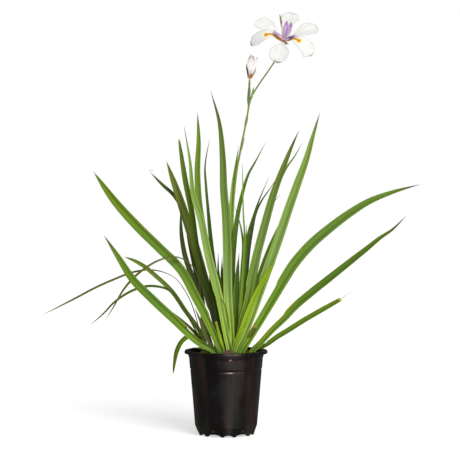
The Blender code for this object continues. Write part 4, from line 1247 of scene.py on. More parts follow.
seat_piece(make_pot(), "pot_plastic", "pot")

# %% [markdown]
# ## The potting mix
# A bark mix is dark crumbs of peat with tan chips of bark and a few white grains of
# perlite on top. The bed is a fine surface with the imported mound's own shape. The
# chips repeat hundreds of times and lie at random, which is what Geometry Nodes are
# for: points are scattered over the bed, each gets a chip turned and sized by chance,
# and a fixed seed keeps the same bed every time.

# %% Finish of the mix
PEAT = seen_colour(58, 42, 32)
PEAT_LIGHT = seen_colour(98, 74, 56)
CHIP_DARK = seen_colour(104, 72, 52)
CHIP_LIGHT = seen_colour(190, 150, 116)
PERLITE = seen_colour(226, 220, 208)
BARK_GRAIN = (1.0, 0.25, 1.0)


def make_mix_finish():
    made, tree, shader = new_finish("bark_and_peat", 0.9, 0.2)
    tone, chip = held(tree, "tone chip")
    crumbs = patches(object_place(tree), 260.0, 0.42, 0.62)
    grain = patches(object_place(tree, BARK_GRAIN), 700.0, 0.4, 0.6)
    bark = shaded(blend(tone, CHIP_DARK, CHIP_LIGHT), 0.8 + grain * 0.3)
    bark = blend(stepped(tone, 0.93, 0.95), bark, PERLITE)
    skin = blend(chip, blend(crumbs, PEAT, PEAT_LIGHT), bark)
    feed(shader, {"Base Color": skin, "Normal": bumps(crumbs["Cloud"] + grain * 0.3, 0.8, 0.0012)})
    return made


bark_and_peat = make_mix_finish()
print("mix finish has", len(bark_and_peat.node_tree.nodes), "nodes")

# %% Bed of the mix
SOIL_LEVEL = 139.0
SOIL_MOUND = 3.0
# Lumps and crumbs: height, size and which slice of the noise they are.
SOIL_LUMPS = [(1.6, 11.0, 3.7), (0.7, 2.6, 9.1)]
# The lowest ring of the mix, and the heights of the next two: (radius, height), heights.
SOIL_FOOT = (49.2, 7.1)
SOIL_SIDE = (14.6, 117.0)
SEAT_GAP = 0.3
HEAP_AT = (5.0, -46.0)
HEAP_HEIGHT = 14.0
HEAP_SPREAD = (20.0, 8.0)
BED_RINGS = 70
BED_STEPS = 220
BED_MIDDLE = 0.006


def inside_radius(z):
    """The pot's inner radius at a height, in millimetres."""
    radii, heights = zip(*POT_INSIDE[1:], POT_OUTSIDE[0])
    return float(np.interp(z, heights, radii))


def soil_height(x, y):
    """The mix's surface: a low mound with a heap, lumps and crumbs, in millimetres."""
    share = min(math.hypot(x, y) / inside_radius(SOIL_LEVEL), 1.0)
    away = sum(((at - home) / wide) ** 2 for at, home, wide in zip((x, y), HEAP_AT, HEAP_SPREAD))
    uneven = sum(high * noise.noise(Vector((x / size, y / size, at))) for high, size, at in SOIL_LUMPS)
    mound = SOIL_LEVEL + SOIL_MOUND * (1 - share**2)
    return mound + HEAP_HEIGHT * math.exp(-away) + uneven * (1 - 0.6 * share**6)


def make_bed():
    turns = full_turn(BED_STEPS)
    side = [SOIL_FOOT, *((inside_radius(z) - SEAT_GAP, z) for z in SOIL_SIDE)]
    rings = list(turned_rings(side, turns))
    for share in np.linspace(1, BED_MIDDLE, BED_RINGS):
        radius = (inside_radius(SOIL_LEVEL) - SEAT_GAP) * share
        x, y = radius * np.cos(turns), radius * np.sin(turns)
        rings.append(np.stack([x, y, [soil_height(a, b) for a, b in zip(x, y)]], axis=1))
    return ring_surface("mix_bed", rings, {"tone": 0.0, "chip": 0.0})


bed = make_bed()
print("bed has", len(bed.data.polygons), "faces")

# %% Geometry tree for the chips
CHIPS_PER_SQUARE_METRE = 92000.0
CHIP_LENGTH = 4.6
CHIP_FORM = (0.5, 0.30, 0.13)
CHIP_ROUGHNESS = 0.0016
CHIP_TURNS = {0: (-0.5, -0.5, 0.0), 1: (0.5, 0.5, 6.28)}
BED_TOP_FROM = 134.0
CHIPS_WITHIN = 62.5


def make_chip_tree():
    inputs = {
        "Density": ("Float", CHIPS_PER_SQUARE_METRE), "Chip Length": ("Float", CHIP_LENGTH * MM),
        "Lowest": ("Float", BED_TOP_FROM * MM), "Farthest": ("Float", CHIPS_WITHIN * MM),
        "Seed": ("Int", 5), "Finish": ("Material", None),
    }
    tree, taken, given_out = geometry_tree("scatter_chips", inputs)
    bed_mesh, seed = taken["Geometry"], taken["Seed"]

    def by_chance(low, high, offset):
        random_inputs = {2: low, 3: high, "Seed": seed + offset}
        return joined("FunctionNodeRandomValue", random_inputs, data_type="FLOAT")[1]

    place = put(tree, "GeometryNodeInputPosition")
    height = joined("ShaderNodeSeparateXYZ", {0: place})["Z"]
    out = vector_worked("LENGTH", vector_worked("MULTIPLY", place, (1.0, 1.0, 0.0)))["Value"]
    high = joined("FunctionNodeCompare", {0: height, 1: taken["Lowest"]}, operation="GREATER_THAN")
    inside = joined("FunctionNodeCompare", {0: out, 1: taken["Farthest"]}, operation="LESS_THAN")
    on_top = joined("FunctionNodeBooleanMath", {0: high, 1: inside}, operation="AND")
    scatter = {"Mesh": bed_mesh, "Selection": on_top, "Density": taken["Density"], "Seed": seed}
    points = joined("GeometryNodeDistributePointsOnFaces", scatter)
    ball = joined("GeometryNodeMeshIcoSphere", {"Radius": taken["Chip Length"], "Subdivisions": 2})
    flat = joined("GeometryNodeTransform", {"Geometry": ball, "Scale": CHIP_FORM})
    rough = vector_worked("SUBTRACT", noise_at(place, 420.0)["Color"], (0.5, 0.5, 0.5))
    flat = joined("GeometryNodeSetPosition", {"Geometry": flat, "Offset": scaled(rough, CHIP_ROUGHNESS)})
    turn = joined("FunctionNodeRandomValue", {**CHIP_TURNS, "Seed": seed}, data_type="FLOAT_VECTOR")
    chip_inputs = {"Points": points, "Instance": flat, "Rotation": turn, "Scale": by_chance(0.35, 1.0, 1)}
    chips = joined("GeometryNodeInstanceOnPoints", chip_inputs)
    chips = stored(chips, "tone", by_chance(0.0, 1.0, 2), "INSTANCE")
    chips = stored(chips, "chip", 1.0, "INSTANCE")
    both = put(tree, "GeometryNodeJoinGeometry")
    for geometry in (bed_mesh, chips):
        feed(both.socket.node, {0: geometry})
    end_tree(both, taken["Finish"], given_out)
    return tree


mix = run_tree(bed, make_chip_tree(), {"Finish": bark_and_peat})
mix.name = "bark_mix"
seat_piece(mix, "potting_mix", "potting_mix")

# %% [markdown]
# ## The flower stem
# The stem is wiry and round, with brown rings where small sheaths clasp it, a long
# grey-green sheath under the bud, and one narrow leaf low down. It grows by the same
# sweep as the leaves. A stalk is a line whose width and thickness are the same.

# %% Stem finish
STEM_GREEN = seen_colour(118, 148, 30)
STEM_GREY = seen_colour(104, 120, 84)
STEM_TOP = seen_colour(134, 140, 92)
JOINT_BROWN = seen_colour(138, 92, 34)


def make_stem_finish():
    made, tree, shader = new_finish("stem_skin", 0.42, 0.14)
    across, run, seed, light, warm, dry, aged = held(tree, "across run seed light warm dry aged")
    lines = veins(across, run, seed, 4.0, 0.1)
    cloud = patches(vector_of(across, run * 40.0, seed), 2.0, 0.4, 0.65)
    skin = blend(cloud * 0.35, blend(warm, STEM_GREY, STEM_GREEN), STEM_TOP)
    skin = shaded(skin, (0.92 + lines * 0.16) * light)
    skin = blend(aged * (0.6 + cloud * 0.4), skin, JOINT_BROWN)
    rough = 0.38 + aged * 0.3 + dry * 0.1
    feed(shader, {"Base Color": skin, "Roughness": rough, "Normal": bumps(lines["Height"], 0.5, 0.00008)})
    return made


stem_skin = make_stem_finish()
print("stem finish has", len(stem_skin.node_tree.nodes), "nodes")

# %% Where the flower faces
FLOWER_CENTRE = (104.4, -10.0, 704.0)
FLOWER_TILT = 44.0
OVARY = (3.0, 11.0)
BUD_BASE = (43.0, 6.0, 641.4)
BUD_TILT = (4.0, 7.0, 0.0)

flower_turn = np.array(Matrix.Rotation(math.radians(FLOWER_TILT), 3, "X"))
bud_turn = np.array(Euler([math.radians(turn) for turn in BUD_TILT]).to_matrix())


def on_flower(points):
    """Points in the flower's own frame, where +Z is the way it faces, put in place."""
    return np.asarray(points, float) @ flower_turn.T + np.array(FLOWER_CENTRE)


def on_bud(points):
    """Points in the bud's own frame, where +Z runs up its middle, put in place."""
    return np.asarray(points, float) @ bud_turn.T + np.array(BUD_BASE)


print("the flower faces", on_flower([(0, 0, 1)])[0] - np.array(FLOWER_CENTRE))

# %% Stem, stalk, sheaths and leaf
STEM_CROWN = (4, 28)
STEM_CROWN_SIZE = (7, 6)
# Points of the stalks as (x, y, z, radius).
STEM = [
    (6, 28, 128, 2.1), (8, 27, 250, 2.0), (10, 24, 350, 1.9), (14, 19, 425, 1.9), (20, 15, 478, 1.9),
    (28, 11.5, 520, 1.8), (33, 9, 545, 1.6), (36.5, 8, 563, 1.7), (39.5, 7, 580, 1.5), (42, 6, 595, 1.9),
    (46, 5, 607, 1.6), (54, 4, 621, 1.4), (64, 3, 636, 1.3), (76, 2, 653, 1.3), (86, 1, 668, 1.3),
    (96, 1, 684, 1.3),
]
# The neck under the flower: how far below its heart, and radius.
NECK = [(OVARY[1] + 6.0, 1.3), (OVARY[1], 1.7), (0.6 * OVARY[1], OVARY[0]), (2.4, 2.6), (0.9, 2.2)]
BUD_STALK = [
    (41, 6, 590, 1.2), (40.5, 6, 597, 2.2), (41, 6, 606, 2.8), (41.6, 6, 615, 2.6), (42.0, 6, 624, 2.0),
    (42.2, 6, 630, 1.3), (42.3, 6, 633.5, 1.7), (42.4, 6, 638.8, 1.3),
]
SMALL_BRACT = [(46, 4.6, 603, 0.8), (47.2, 4.2, 610, 1.9), (48.6, 4.0, 617, 1.6), (49.8, 3.6, 624, 0.5)]
NODE_SHEATHS = [
    [(27, 11.2, 512, 1.9), (29.3, 10.6, 524, 2.5), (31.4, 9.4, 533, 1.9)],
    [(34.6, 8.4, 555, 1.6), (36.8, 7.8, 564, 2.3), (38.4, 7.2, 573, 1.7)],
]
JOINT_RINGS = [
    [(27.6, 11.3, 516, 2.0), (29, 11, 524, 1.92)],
    [(35.4, 8.3, 557, 2.0), (36.6, 7.9, 563, 1.92)],
    [(42.0, 6, 626, 1.75), (42.3, 6, 633, 1.68)],
]
STEM_LEAF = blade(
    [(8, 340), (9, 380), (11, 422), (14, 458), (18, 486), (23, 519)], (0, -10, -8, -6), 12.5, (-4, 12),
    look=(1.30, 0.7, 0.2, 0.0),
)


def stalk_line(points, count, light=1.0, warm=0.6, aged=0.0, thinned=1.0):
    """A round stalk for the sweep. The last value of each point is its radius."""
    shares = np.linspace(0, 1, count)
    rows, length = smooth_line(points, shares)
    look = {"thick": rows[:, 3] * thinned, "light": light, "warm": warm, "aged": aged}
    return line_of(rows[:, :3], 0 * shares, shares, length, rows[:, 3], seed=draws.uniform(0, 40), **look)


def make_stem():
    neck = [(*on_flower((0, 0, -down)), radius) for down, radius in NECK]
    lines = [
        stalk_line(STEM + neck, 190, light=0.92, warm=0.85),
        stalk_line(BUD_STALK[:5], 40, light=0.82, warm=0.15),
        stalk_line(BUD_STALK[4:], 20, light=1.0, warm=1.0),
        stalk_line(SMALL_BRACT, 20, light=1.12, warm=1.0, thinned=0.7),
        *[stalk_line(sheath, 20, light=0.9, warm=0.7, aged=0.15) for sheath in NODE_SHEATHS],
        *[stalk_line(ring, 8, light=0.9, warm=0.4, aged=0.9) for ring in JOINT_RINGS],
    ]
    stalks = swept_mesh("stalks", lines, stem_skin, points_round=20, ribs=4.0, rib_height=0.05)
    leaf = leaf_line(STEM_LEAF, STEM_CROWN, STEM_CROWN_SIZE)
    stem_leaf = swept_mesh("stem_leaf", [leaf], leaf_skin)
    crown = crown_body("stem_crown", STEM_CROWN, STEM_CROWN_SIZE, leaf_skin)
    return one_object("stem_living", [stalks, stem_leaf, crown])


seat_piece(make_stem(), "stem", "flower_stem")

# %% [markdown]
# ## Petals
# A petal is a thin sheet over a grid: its length follows one line, its half width a
# second, and its edges lift, ruffle and thin out. The grid has an upper and a lower
# face that meet at the edge, so that it is a closed skin with a real thickness.
# The white tissue shows faint grey veins. On the three outer petals a raised golden
# ridge leads from the heart to a yellow patch of short hairs.

# %% Petal finish
PETAL_WHITE = seen_colour(206, 206, 204)
PETAL_SHADE = seen_colour(168, 168, 163)
# Painted light: the petals and the bud's petals glow a little in their own colour, as if light shone through
# the thin tissue.
PETAL_GLOW = 0.17
PETAL_PINK = seen_colour(204, 176, 186)
GUIDE_GOLD = seen_colour(188, 134, 6)
GUIDE_BROWN = seen_colour(132, 84, 18)
BLOB_ORANGE = seen_colour(178, 118, 8)
BLOB_YELLOW = seen_colour(206, 164, 24)
BLOB_HALO = seen_colour(240, 214, 150)
CLAW_GOLD = seen_colour(190, 130, 26)
CLAW_EDGE_SHADE = seen_colour(92, 58, 26)
MARK_DARK = seen_colour(88, 84, 66)
EDGE_TAN = seen_colour(206, 186, 164)
ROLLED_GREEN = seen_colour(128, 132, 104)
# In millimetres, out from the flower's heart or across from a petal's middle. The yellow
# blob is stretched across by the narrowing, which makes its distances there count less.
BLOB_AT = 33.0
BLOB_RADIUS = 4.3
BLOB_NARROWING = 0.60
RIDGE_HALF = 2.9
CLAW_ENDS = (13.0, 24.0)


def make_petal_finish():
    made, tree, shader = new_finish("petal_white", 0.55, 0.12, glow=PETAL_GLOW)
    across, along, off, reach, seed = held(tree, "across along off reach seed")
    guide, upper, mark, tan, rolled = held(tree, "guide upper mark tan rolled")
    lines = veins(across, along, seed, 11.0, 0.25)
    clouds = patches(vector_of(across, along * 2.0, seed), 1.8, 0.35, 0.7)
    from_middle, wide = worked("ABSOLUTE", across), worked("ABSOLUTE", off)
    on_top = guide * upper

    # Painted shade: the petal greys towards its rim and tip. The grey veins and clouds are the tissue's own.
    rim = worked("MAXIMUM", stepped(from_middle, 0.86, 1.0), stepped(along, 0.93, 1.0))
    skin = blend(lines * 0.12 + clouds * 0.24 + rim * 0.60, PETAL_WHITE, PETAL_SHADE)
    skin = blend(stepped(reach, 15.0, 4.0, 0.0, 0.6), skin, PETAL_PINK)
    skin = blend(rim * tan * stepped(across, -0.2, 0.5), skin, EDGE_TAN)
    skin = blend(stepped(along + clouds * 0.02, 0.955, 0.995) * mark, skin, MARK_DARK)

    claw_skin = blend(stepped(wide, 2.0, 5.4) * (0.1 + clouds), CLAW_GOLD, GUIDE_BROWN)
    # Painted shade: the claw's edges are dark brown, for the shade at the petals' claws.
    claw_skin = blend(stepped(from_middle, 0.86, 0.96), claw_skin, CLAW_EDGE_SHADE)
    claw = stepped(reach, CLAW_ENDS[1], CLAW_ENDS[0]) * guide
    skin = blend(claw * (0.75 + clouds * 0.25), skin, claw_skin)

    away = reach - BLOB_AT
    from_blob = worked("SQRT", away * away + off * off * BLOB_NARROWING)
    skin = blend(stepped(from_blob, BLOB_RADIUS + 6.0, BLOB_RADIUS, 0.0, 0.35) * on_top, skin, BLOB_HALO)
    ridge = stepped(wide + clouds * 0.5, RIDGE_HALF + 0.5, RIDGE_HALF - 0.4) * stepped(reach, 3.0, 5.0)
    ridge = ridge * stepped(reach, BLOB_AT, BLOB_AT - 3.0) * on_top
    skin = blend(ridge, skin, blend(stepped(wide, 0.8, RIDGE_HALF + 0.6), GUIDE_GOLD, GUIDE_BROWN))
    blob = stepped(from_blob + clouds, BLOB_RADIUS + 1.0, BLOB_RADIUS - 0.8) * on_top
    skin = blend(blob, skin, blend(stepped(from_blob, 1.0, 3.4), BLOB_ORANGE, BLOB_YELLOW))
    skin = blend(rolled, skin, blend(stepped(along, 0.35, 0.7), EDGE_TAN, ROLLED_GREEN))

    gold = worked("MAXIMUM", blob, ridge)
    height = lines["Height"] * 0.25 + noise_at(vector_of(off, reach, seed), 2.2) * gold * 3.0
    feed(shader, {"Base Color": skin, "Emission Color": skin, "Roughness": 0.5 + gold * 0.4})
    feed(shader, {"Normal": bumps(height, 0.6, 0.0003)})
    return made


petal_white = make_petal_finish()
print("petal finish has", len(petal_white.node_tree.nodes), "nodes")

# %% Sheets with two faces
SHEET_EDGE_SHARE = 0.25


def sheet_rings(grid, thickness):
    """Gives a grid of points an upper and a lower face. It is thinner towards its edges."""
    normal = np.cross(np.gradient(grid, axis=0), np.gradient(grid, axis=1))
    normal /= np.maximum(np.linalg.norm(normal, axis=2, keepdims=True), 1e-9)
    v = np.linspace(-1, 1, grid.shape[1])
    shape = SHEET_EDGE_SHARE + (1 - SHEET_EDGE_SHARE) * (1 - np.abs(v) ** 4)
    wall = 0.5 * thickness * shape[None, :, None]
    return np.concatenate([grid - normal * wall, (grid + normal * wall)[:, ::-1]], axis=1)


def sheet_piece(name, grid, keys, thickness, put_in_place, finish, **values):
    """A closed sheet from a grid, put in its bloom, with numbers for its finish."""
    rows, columns = grid.shape[:2]
    values = {"across": np.linspace(-1, 1, columns), "along": keys[:, None], **values}
    whole = {key: np.broadcast_to(value, (rows, columns)) for key, value in values.items()}
    numbers = {key: np.concatenate([value, value[:, ::-1]], axis=1) for key, value in whole.items()}
    numbers["upper"] = np.repeat([0.0, 1.0], columns)
    return ring_surface(name, put_in_place(sheet_rings(grid, thickness)), numbers, finish)


print("a sheet 4 points wide gets rings of", sheet_rings(np.zeros((3, 4, 3)), 1.0).shape[1], "points")

# %% Grid of one petal
TIP_RISE_POWER = 4
KEYS_POWER = 1.25
PETAL_ROWS = 64
PETAL_COLUMNS = 36
ROUND_FROM = 0.74
PETAL_TIP_HALF = 0.12
# Grooves, pleats and waves grow from this share of the length over this span.
GROWS_FROM = 0.25
GROWS_OVER = 0.5
PLEAT = 0.22
# The groove down the middle: how deep, and how wide to each side.
GROOVE = (0.8, 1.6)


def outline_half(keys, points, sharpness):
    """Half widths along a petal: from its table, then rounding off to its tip."""
    t = np.clip((keys - ROUND_FROM) / (1 - ROUND_FROM), 0, 1)
    table = smooth_line(points, np.minimum(keys, ROUND_FROM))[0]
    return table[:, 2] * (1 - t**sharpness) ** 0.5


def petal_keys():
    """Shares of a petal's length, closer together towards its tip."""
    return 1 - (1 - np.linspace(0, 1, PETAL_ROWS)) ** KEYS_POWER


def petal_grid(line, half_widths, bearing, stretch, rise, cup, sharpness, ruffle=0.0, seed=0.0, sag=0.0):
    """The grid of one petal in the flower's frame, and its distances off and out."""
    points = [(r, h, w) for (r, h), w in zip(line, half_widths)]
    keys = petal_keys()[:, None]
    joint = smooth_line(points, keys[:, 0])[0]
    half = np.maximum(outline_half(keys[:, 0], points, sharpness), PETAL_TIP_HALF)[:, None]
    v = np.linspace(-1, 1, PETAL_COLUMNS)
    off = half * v
    radius = joint[:, :1] * stretch
    wave = np.sin(keys * 17 + seed + 2.2 * np.sign(v)) + 0.5 * np.sin(keys * 31 + 2 * seed)
    pleats = PLEAT * np.cos(v * 5 * math.pi + 0.6 * np.sin(keys * 5 + seed))
    groove = GROOVE[0] * np.exp(-((off / GROOVE[1]) ** 2))
    uneven = ruffle * np.abs(v) ** 3 * wave + pleats - groove + sag * np.sin(v * 2.6 + seed)
    grown = np.clip((keys - GROWS_FROM) / GROWS_OVER, 0, 1)
    height = joint[:, 1:2] + rise * keys**TIP_RISE_POWER + cup * half * v**2 + uneven * grown
    turn = math.radians(bearing)
    x = radius * math.cos(turn) - off * math.sin(turn)
    y = radius * math.sin(turn) + off * math.cos(turn)
    return np.stack([x, y, height], axis=2), off, np.broadcast_to(radius, off.shape)


print("a petal is a grid of", PETAL_ROWS, "by", PETAL_COLUMNS, "points")

# %% The six petals
OUTER_LINE = [(2.0, 0.0), (12.0, 10.0), (26.0, 19.0), (38.0, 17.0), (50.0, 9.5), (61.0, 0.0)]
OUTER_HALF_WIDTHS = [4.4, 8.6, 10.5, 14.5, 15.5, 5.0]
INNER_LINE = [(2.0, 0.0), (14.0, 6.0), (28.0, 10.0), (41.0, 11.5), (53.0, 10.5), (64.0, 7.5)]
INNER_HALF_WIDTHS = [2.4, 3.2, 9.5, 16.0, 16.0, 5.0]
# Bearing, length against the line, rise of the tip, sharpness, ruffle, dark tip, tan edge,
# and how golden the guide is.
OUTER_PETALS = [
    (188, 1.0, 1, 2.6, 0.7, 0.9, 0.0, 1.0),
    (76, 1.0, 20, 3.4, 0.7, 0.0, 0.9, 0.12),
    (-41, 1.02, 0, 3.6, 1.8, 0.25, 0.2, 1.0),
]
INNER_PETALS = [
    (138, 0.98, 9, 3.8, 0.6, 0.0, 0.0, 0.0),
    (24, 1.02, 5, 2.4, 0.7, 0.1, 0.2, 0.0),
    (-103, 0.96, -8, 2.8, 0.8, 0.7, 0.0, 0.0),
]
PETAL_SETS = [
    (OUTER_PETALS, OUTER_LINE, OUTER_HALF_WIDTHS, 1.0),
    (INNER_PETALS, INNER_LINE, INNER_HALF_WIDTHS, 0.0),
]
ROLLED_LINE = [(3.2, 0.9), (20.0, 9.0), (40.0, 18.0), (53.0, 22.5)]
ROLLED_HALF_WIDTHS = [1.6, 1.4, 1.8, 0.6]
# Bearing, stretch, rise of the tip, cup and sharpness of the rolled edge.
ROLLED_FORM = (98, 1.0, 0.0, 0.6, 1.4)
PETAL_CUP = 0.10
PETAL_SAG = 0.5
PETAL_THICKNESS = 0.5
PETAL_LIFT = 0.8
GUIDE_HEIGHT = 0.7
GUIDE_WIDTH = 1.1
HAIR_HEIGHT = 0.9
HAIR_SPREAD = 5.0
HAIR_WAVES = 9
HEART_PROFILE = [(2.1, 0.0), (4.2, 0.0), (3.864, 0.96), (3.612, 1.6), (0.3, 1.6)]
PETAL_NUMBERS = ("across", "along", "off", "guide", "mark", "tan", "rolled", "seed")


def guide_ridge(off, reach):
    """The raised golden ridge and its patch of hairs on an outer petal."""
    ends = np.clip((reach - 5) / 4, 0, 1) * np.clip((BLOB_AT - reach) / 3, 0, 1)
    ridge = np.exp(-((off / GUIDE_WIDTH) ** 2)) * ends
    patch = np.exp(-(((reach - BLOB_AT) ** 2 + off**2) / HAIR_SPREAD))
    fuzz = 0.5 + 0.5 * np.sin(off * HAIR_WAVES) * np.sin(reach * HAIR_WAVES)
    return GUIDE_HEIGHT * ridge + HAIR_HEIGHT * patch * fuzz


def petal_piece(name, grid, keys, **values):
    """A petal's sheet. A number of its finish that isn't given is 0."""
    whole = {**dict.fromkeys(PETAL_NUMBERS[3:], 0.0), **values}
    return sheet_piece(name, grid, keys, PETAL_THICKNESS, on_flower, petal_white, **whole)


def make_petals():
    pieces = []
    for petals, line, widths, ridged in PETAL_SETS:
        for bearing, stretch, rise, sharpness, ruffle, mark, tan, golden in petals:
            seed = draws.uniform(0, 6)
            form = (bearing, stretch, rise, PETAL_CUP, sharpness, ruffle, seed, PETAL_SAG)
            grid, off, reach = petal_grid(line, widths, *form)
            grid[:, :, 2] += PETAL_LIFT + ridged * guide_ridge(off, reach)
            look = {"guide": golden, "mark": mark, "tan": tan, "seed": seed}
            pieces.append(petal_piece("petal", grid, petal_keys(), off=off, reach=reach, **look))
    grid, off, reach = petal_grid(ROLLED_LINE, ROLLED_HALF_WIDTHS, *ROLLED_FORM)
    keys = np.linspace(0, 1, PETAL_ROWS)
    pieces.append(petal_piece("rolled_edge", grid, keys, off=off, reach=reach, rolled=1.0, seed=1.0))
    numbers = {**dict.fromkeys(PETAL_NUMBERS, 0.0), "reach": 4.0, "upper": 1.0}
    heart = on_flower(turned_rings(HEART_PROFILE, full_turn(36)))
    pieces.append(ring_surface("heart", heart, numbers, petal_white))
    return one_object("white_petals", pieces)


seat_piece(make_petals(), "tepal", "flower_tepals")

# %% [markdown]
# ## The violet heart
# An African iris holds three style arms over its outer petals, like small roofs, and
# each ends in two upright crests. Under each arm lies one stamen. The arms are violet
# with a darker line down the middle. They are made as the petals are, from a line and
# half widths. The stamens are short stalks for the sweep.

# %% Violet finish
VIOLET_PALE = seen_colour(204, 174, 214)
VIOLET = seen_colour(152, 100, 174)
VIOLET_DARK = seen_colour(96, 44, 130)
POLLEN = seen_colour(196, 150, 60)
STAMEN_BROWN = seen_colour(110, 72, 52)


def make_violet_finish():
    made, tree, shader = new_finish("style_violet", 0.5, 0.25)
    across, along, deep, seed, heart = held(tree, "across along deep seed heart")
    lines = veins(across, along, seed, 5.0, 0.3)
    centre = stepped(worked("ABSOLUTE", across), 0.42, 0.06)
    skin = blend(deep, VIOLET_PALE, VIOLET)
    for share in (stepped(deep, 1.0, 2.0), centre * (0.35 + deep * 0.65), lines * 0.25):
        skin = blend(share, skin, VIOLET_DARK)
    skin = blend(heart * 0.7, skin, PETAL_PINK)
    feed(shader, {"Base Color": skin, "Normal": bumps(lines["Height"], 0.5, 0.00012)})
    return made


def make_stamen_finish():
    made, tree, shader = new_finish("stamen", 0.8, 0.15)
    grains = patches(object_place(tree), 1500.0, 0.45, 0.55)
    skin = blend(grains, STAMEN_BROWN, POLLEN)
    feed(shader, {"Base Color": skin, "Normal": bumps(grains["Cloud"], 0.8, 0.0003)})
    return made


style_violet = make_violet_finish()
stamen_skin = make_stamen_finish()
print("violet finish has", len(style_violet.node_tree.nodes), "nodes")

# %% Arms, crests and stamens
STYLE_LINE = [(1.0, 5.0), (6.0, 12.6), (12.0, 18.4), (17.0, 21.6)]
STYLE_HALF_WIDTHS = [1.3, 2.4, 3.6, 3.8]
CREST_LINE = [(14.0, 18.4), (18.5, 23.0), (21.5, 28.5)]
CREST_HALF_WIDTHS = [1.9, 2.3, 0.6]
STYLE_CUP = 0.30
CREST_CUP = 0.2
STYLE_THICKNESS = 0.6
# Bearing, turn from it, width, rise, spread and reach of the crests, depth of the violet.
ARMS = [
    (186, 0, 1.0, 1.0, 10.0, 0.92, 0.25),
    (73, -6, 1.5, 1.0, 12.0, 1.04, 0.26),
    (-42, 0, 1.45, 0.84, 14.0, 1.0, 1.5),
]
ARM_GRID = (26, 20)
CREST_GRID = (20, 12)
HEART_SHARE = 0.35
COLUMN_RADIUS = 1.9
COLUMN_HEIGHTS = np.linspace(1.9, 6.0, 8)
BROWN_TOOTH = [(104.8, -12.4, 702.4, 1.2), (108.0, -14.8, 701.2, 1.4), (111.6, -17.2, 698.4, 0.4)]
# Points of a stamen under its arm as (distance out, height, radius).
STAMEN_LINE = [(3.0, 1.3, 0.35), (9.0, 7.3, 0.4), (11.5, 9.7, 0.9), (15.0, 12.3, 0.7)]


def strip_grid(line, half_widths, cup, rows, columns):
    """A narrow sheet along +X, from (radius, height) points and half widths."""
    keys = np.linspace(0, 1, rows)
    joint = smooth_line([(r, h, w) for (r, h), w in zip(line, half_widths)], keys)[0]
    radius, height, half = joint.T[:, :, None]
    v = np.linspace(-1, 1, columns)
    off = half * v
    return np.stack([np.broadcast_to(radius, off.shape), off, height + cup * half * v**2], axis=2), keys


def turned_grid(grid, bearing):
    return grid @ np.array(Matrix.Rotation(math.radians(bearing), 3, "Z")).T


def style_piece(name, grid, keys, bearing, **values):
    grid = turned_grid(grid, bearing)
    return sheet_piece(name, grid, keys, STYLE_THICKNESS, on_flower, style_violet, **values)


def make_styles():
    pieces = []
    for bearing, turn, width, rise, spread, reach, deep in ARMS:
        seed = draws.uniform(0, 6)
        facing = bearing + turn
        line = [(r, rise * h) for r, h in STYLE_LINE]
        grid, keys = strip_grid(line, [half * width for half in STYLE_HALF_WIDTHS], STYLE_CUP, *ARM_GRID)
        near = np.clip(1 - keys / HEART_SHARE, 0, 1)[:, None]
        pieces.append(style_piece("arm", grid, keys, facing, deep=deep, seed=seed, heart=near))
        line = [(reach * r, rise * reach * h) for r, h in CREST_LINE]
        half_widths = [half * width for half in CREST_HALF_WIDTHS]
        for side in (-1, 1):
            grid, keys = strip_grid(line, half_widths, CREST_CUP, *CREST_GRID)
            twist = np.sin(keys * 9 + seed)[:, None] * np.linspace(-1, 1, CREST_GRID[1])
            grid[:, :, 2] += 0.15 * side + 0.25 * twist
            look = {"deep": deep + 0.1, "seed": seed + side, "heart": 0.0}
            pieces.append(style_piece("crest", grid, keys, facing + spread * side, **look))
    turns = full_turn(30)
    radius = COLUMN_RADIUS * (1 + 0.08 * np.cos(3 * turns))
    rings = on_flower(turned_rings([(radius, z) for z in COLUMN_HEIGHTS], turns))
    numbers = {"across": 0.8, "along": 0.2, "deep": 0.3, "seed": 1.0, "heart": 1.0, "upper": 1.0}
    pieces.append(ring_surface("column", rings, numbers, style_violet))
    lines = []
    for turn in (math.radians(arm[0]) for arm in ARMS):
        points = on_flower([(r * math.cos(turn), r * math.sin(turn), h) for r, h, _ in STAMEN_LINE])
        lines.append(stalk_line([(*p, s[2]) for p, s in zip(points, STAMEN_LINE)], 16))
    lines.append(stalk_line(BROWN_TOOTH, 16))
    stamens = swept_mesh("stamens", lines, stamen_skin, points_round=12, rib_height=0.0)
    return one_object("violet_heart", [*pieces, stamens])


seat_piece(make_styles(), "style", "flower_styles")

# %% [markdown]
# ## The bud
# The bud has been open before and is closing: its white petals are crumpled round one
# another with brown, curled tips, and three papery sheaths hold its foot. Both are
# sheets that wrap round an axis, so that their grid turns through an angle instead of
# going straight across.

# %% Bud finishes
BUD_WHITE = seen_colour(232, 228, 228)
BUD_CREASE = seen_colour(204, 192, 188)
BUD_TIP = seen_colour(182, 150, 130)
BUD_VIOLET = seen_colour(184, 170, 204)
SHEATH_DARK = seen_colour(112, 64, 26)
SHEATH_GOLD = seen_colour(212, 150, 44)
SHEATH_ORANGE = seen_colour(206, 124, 36)


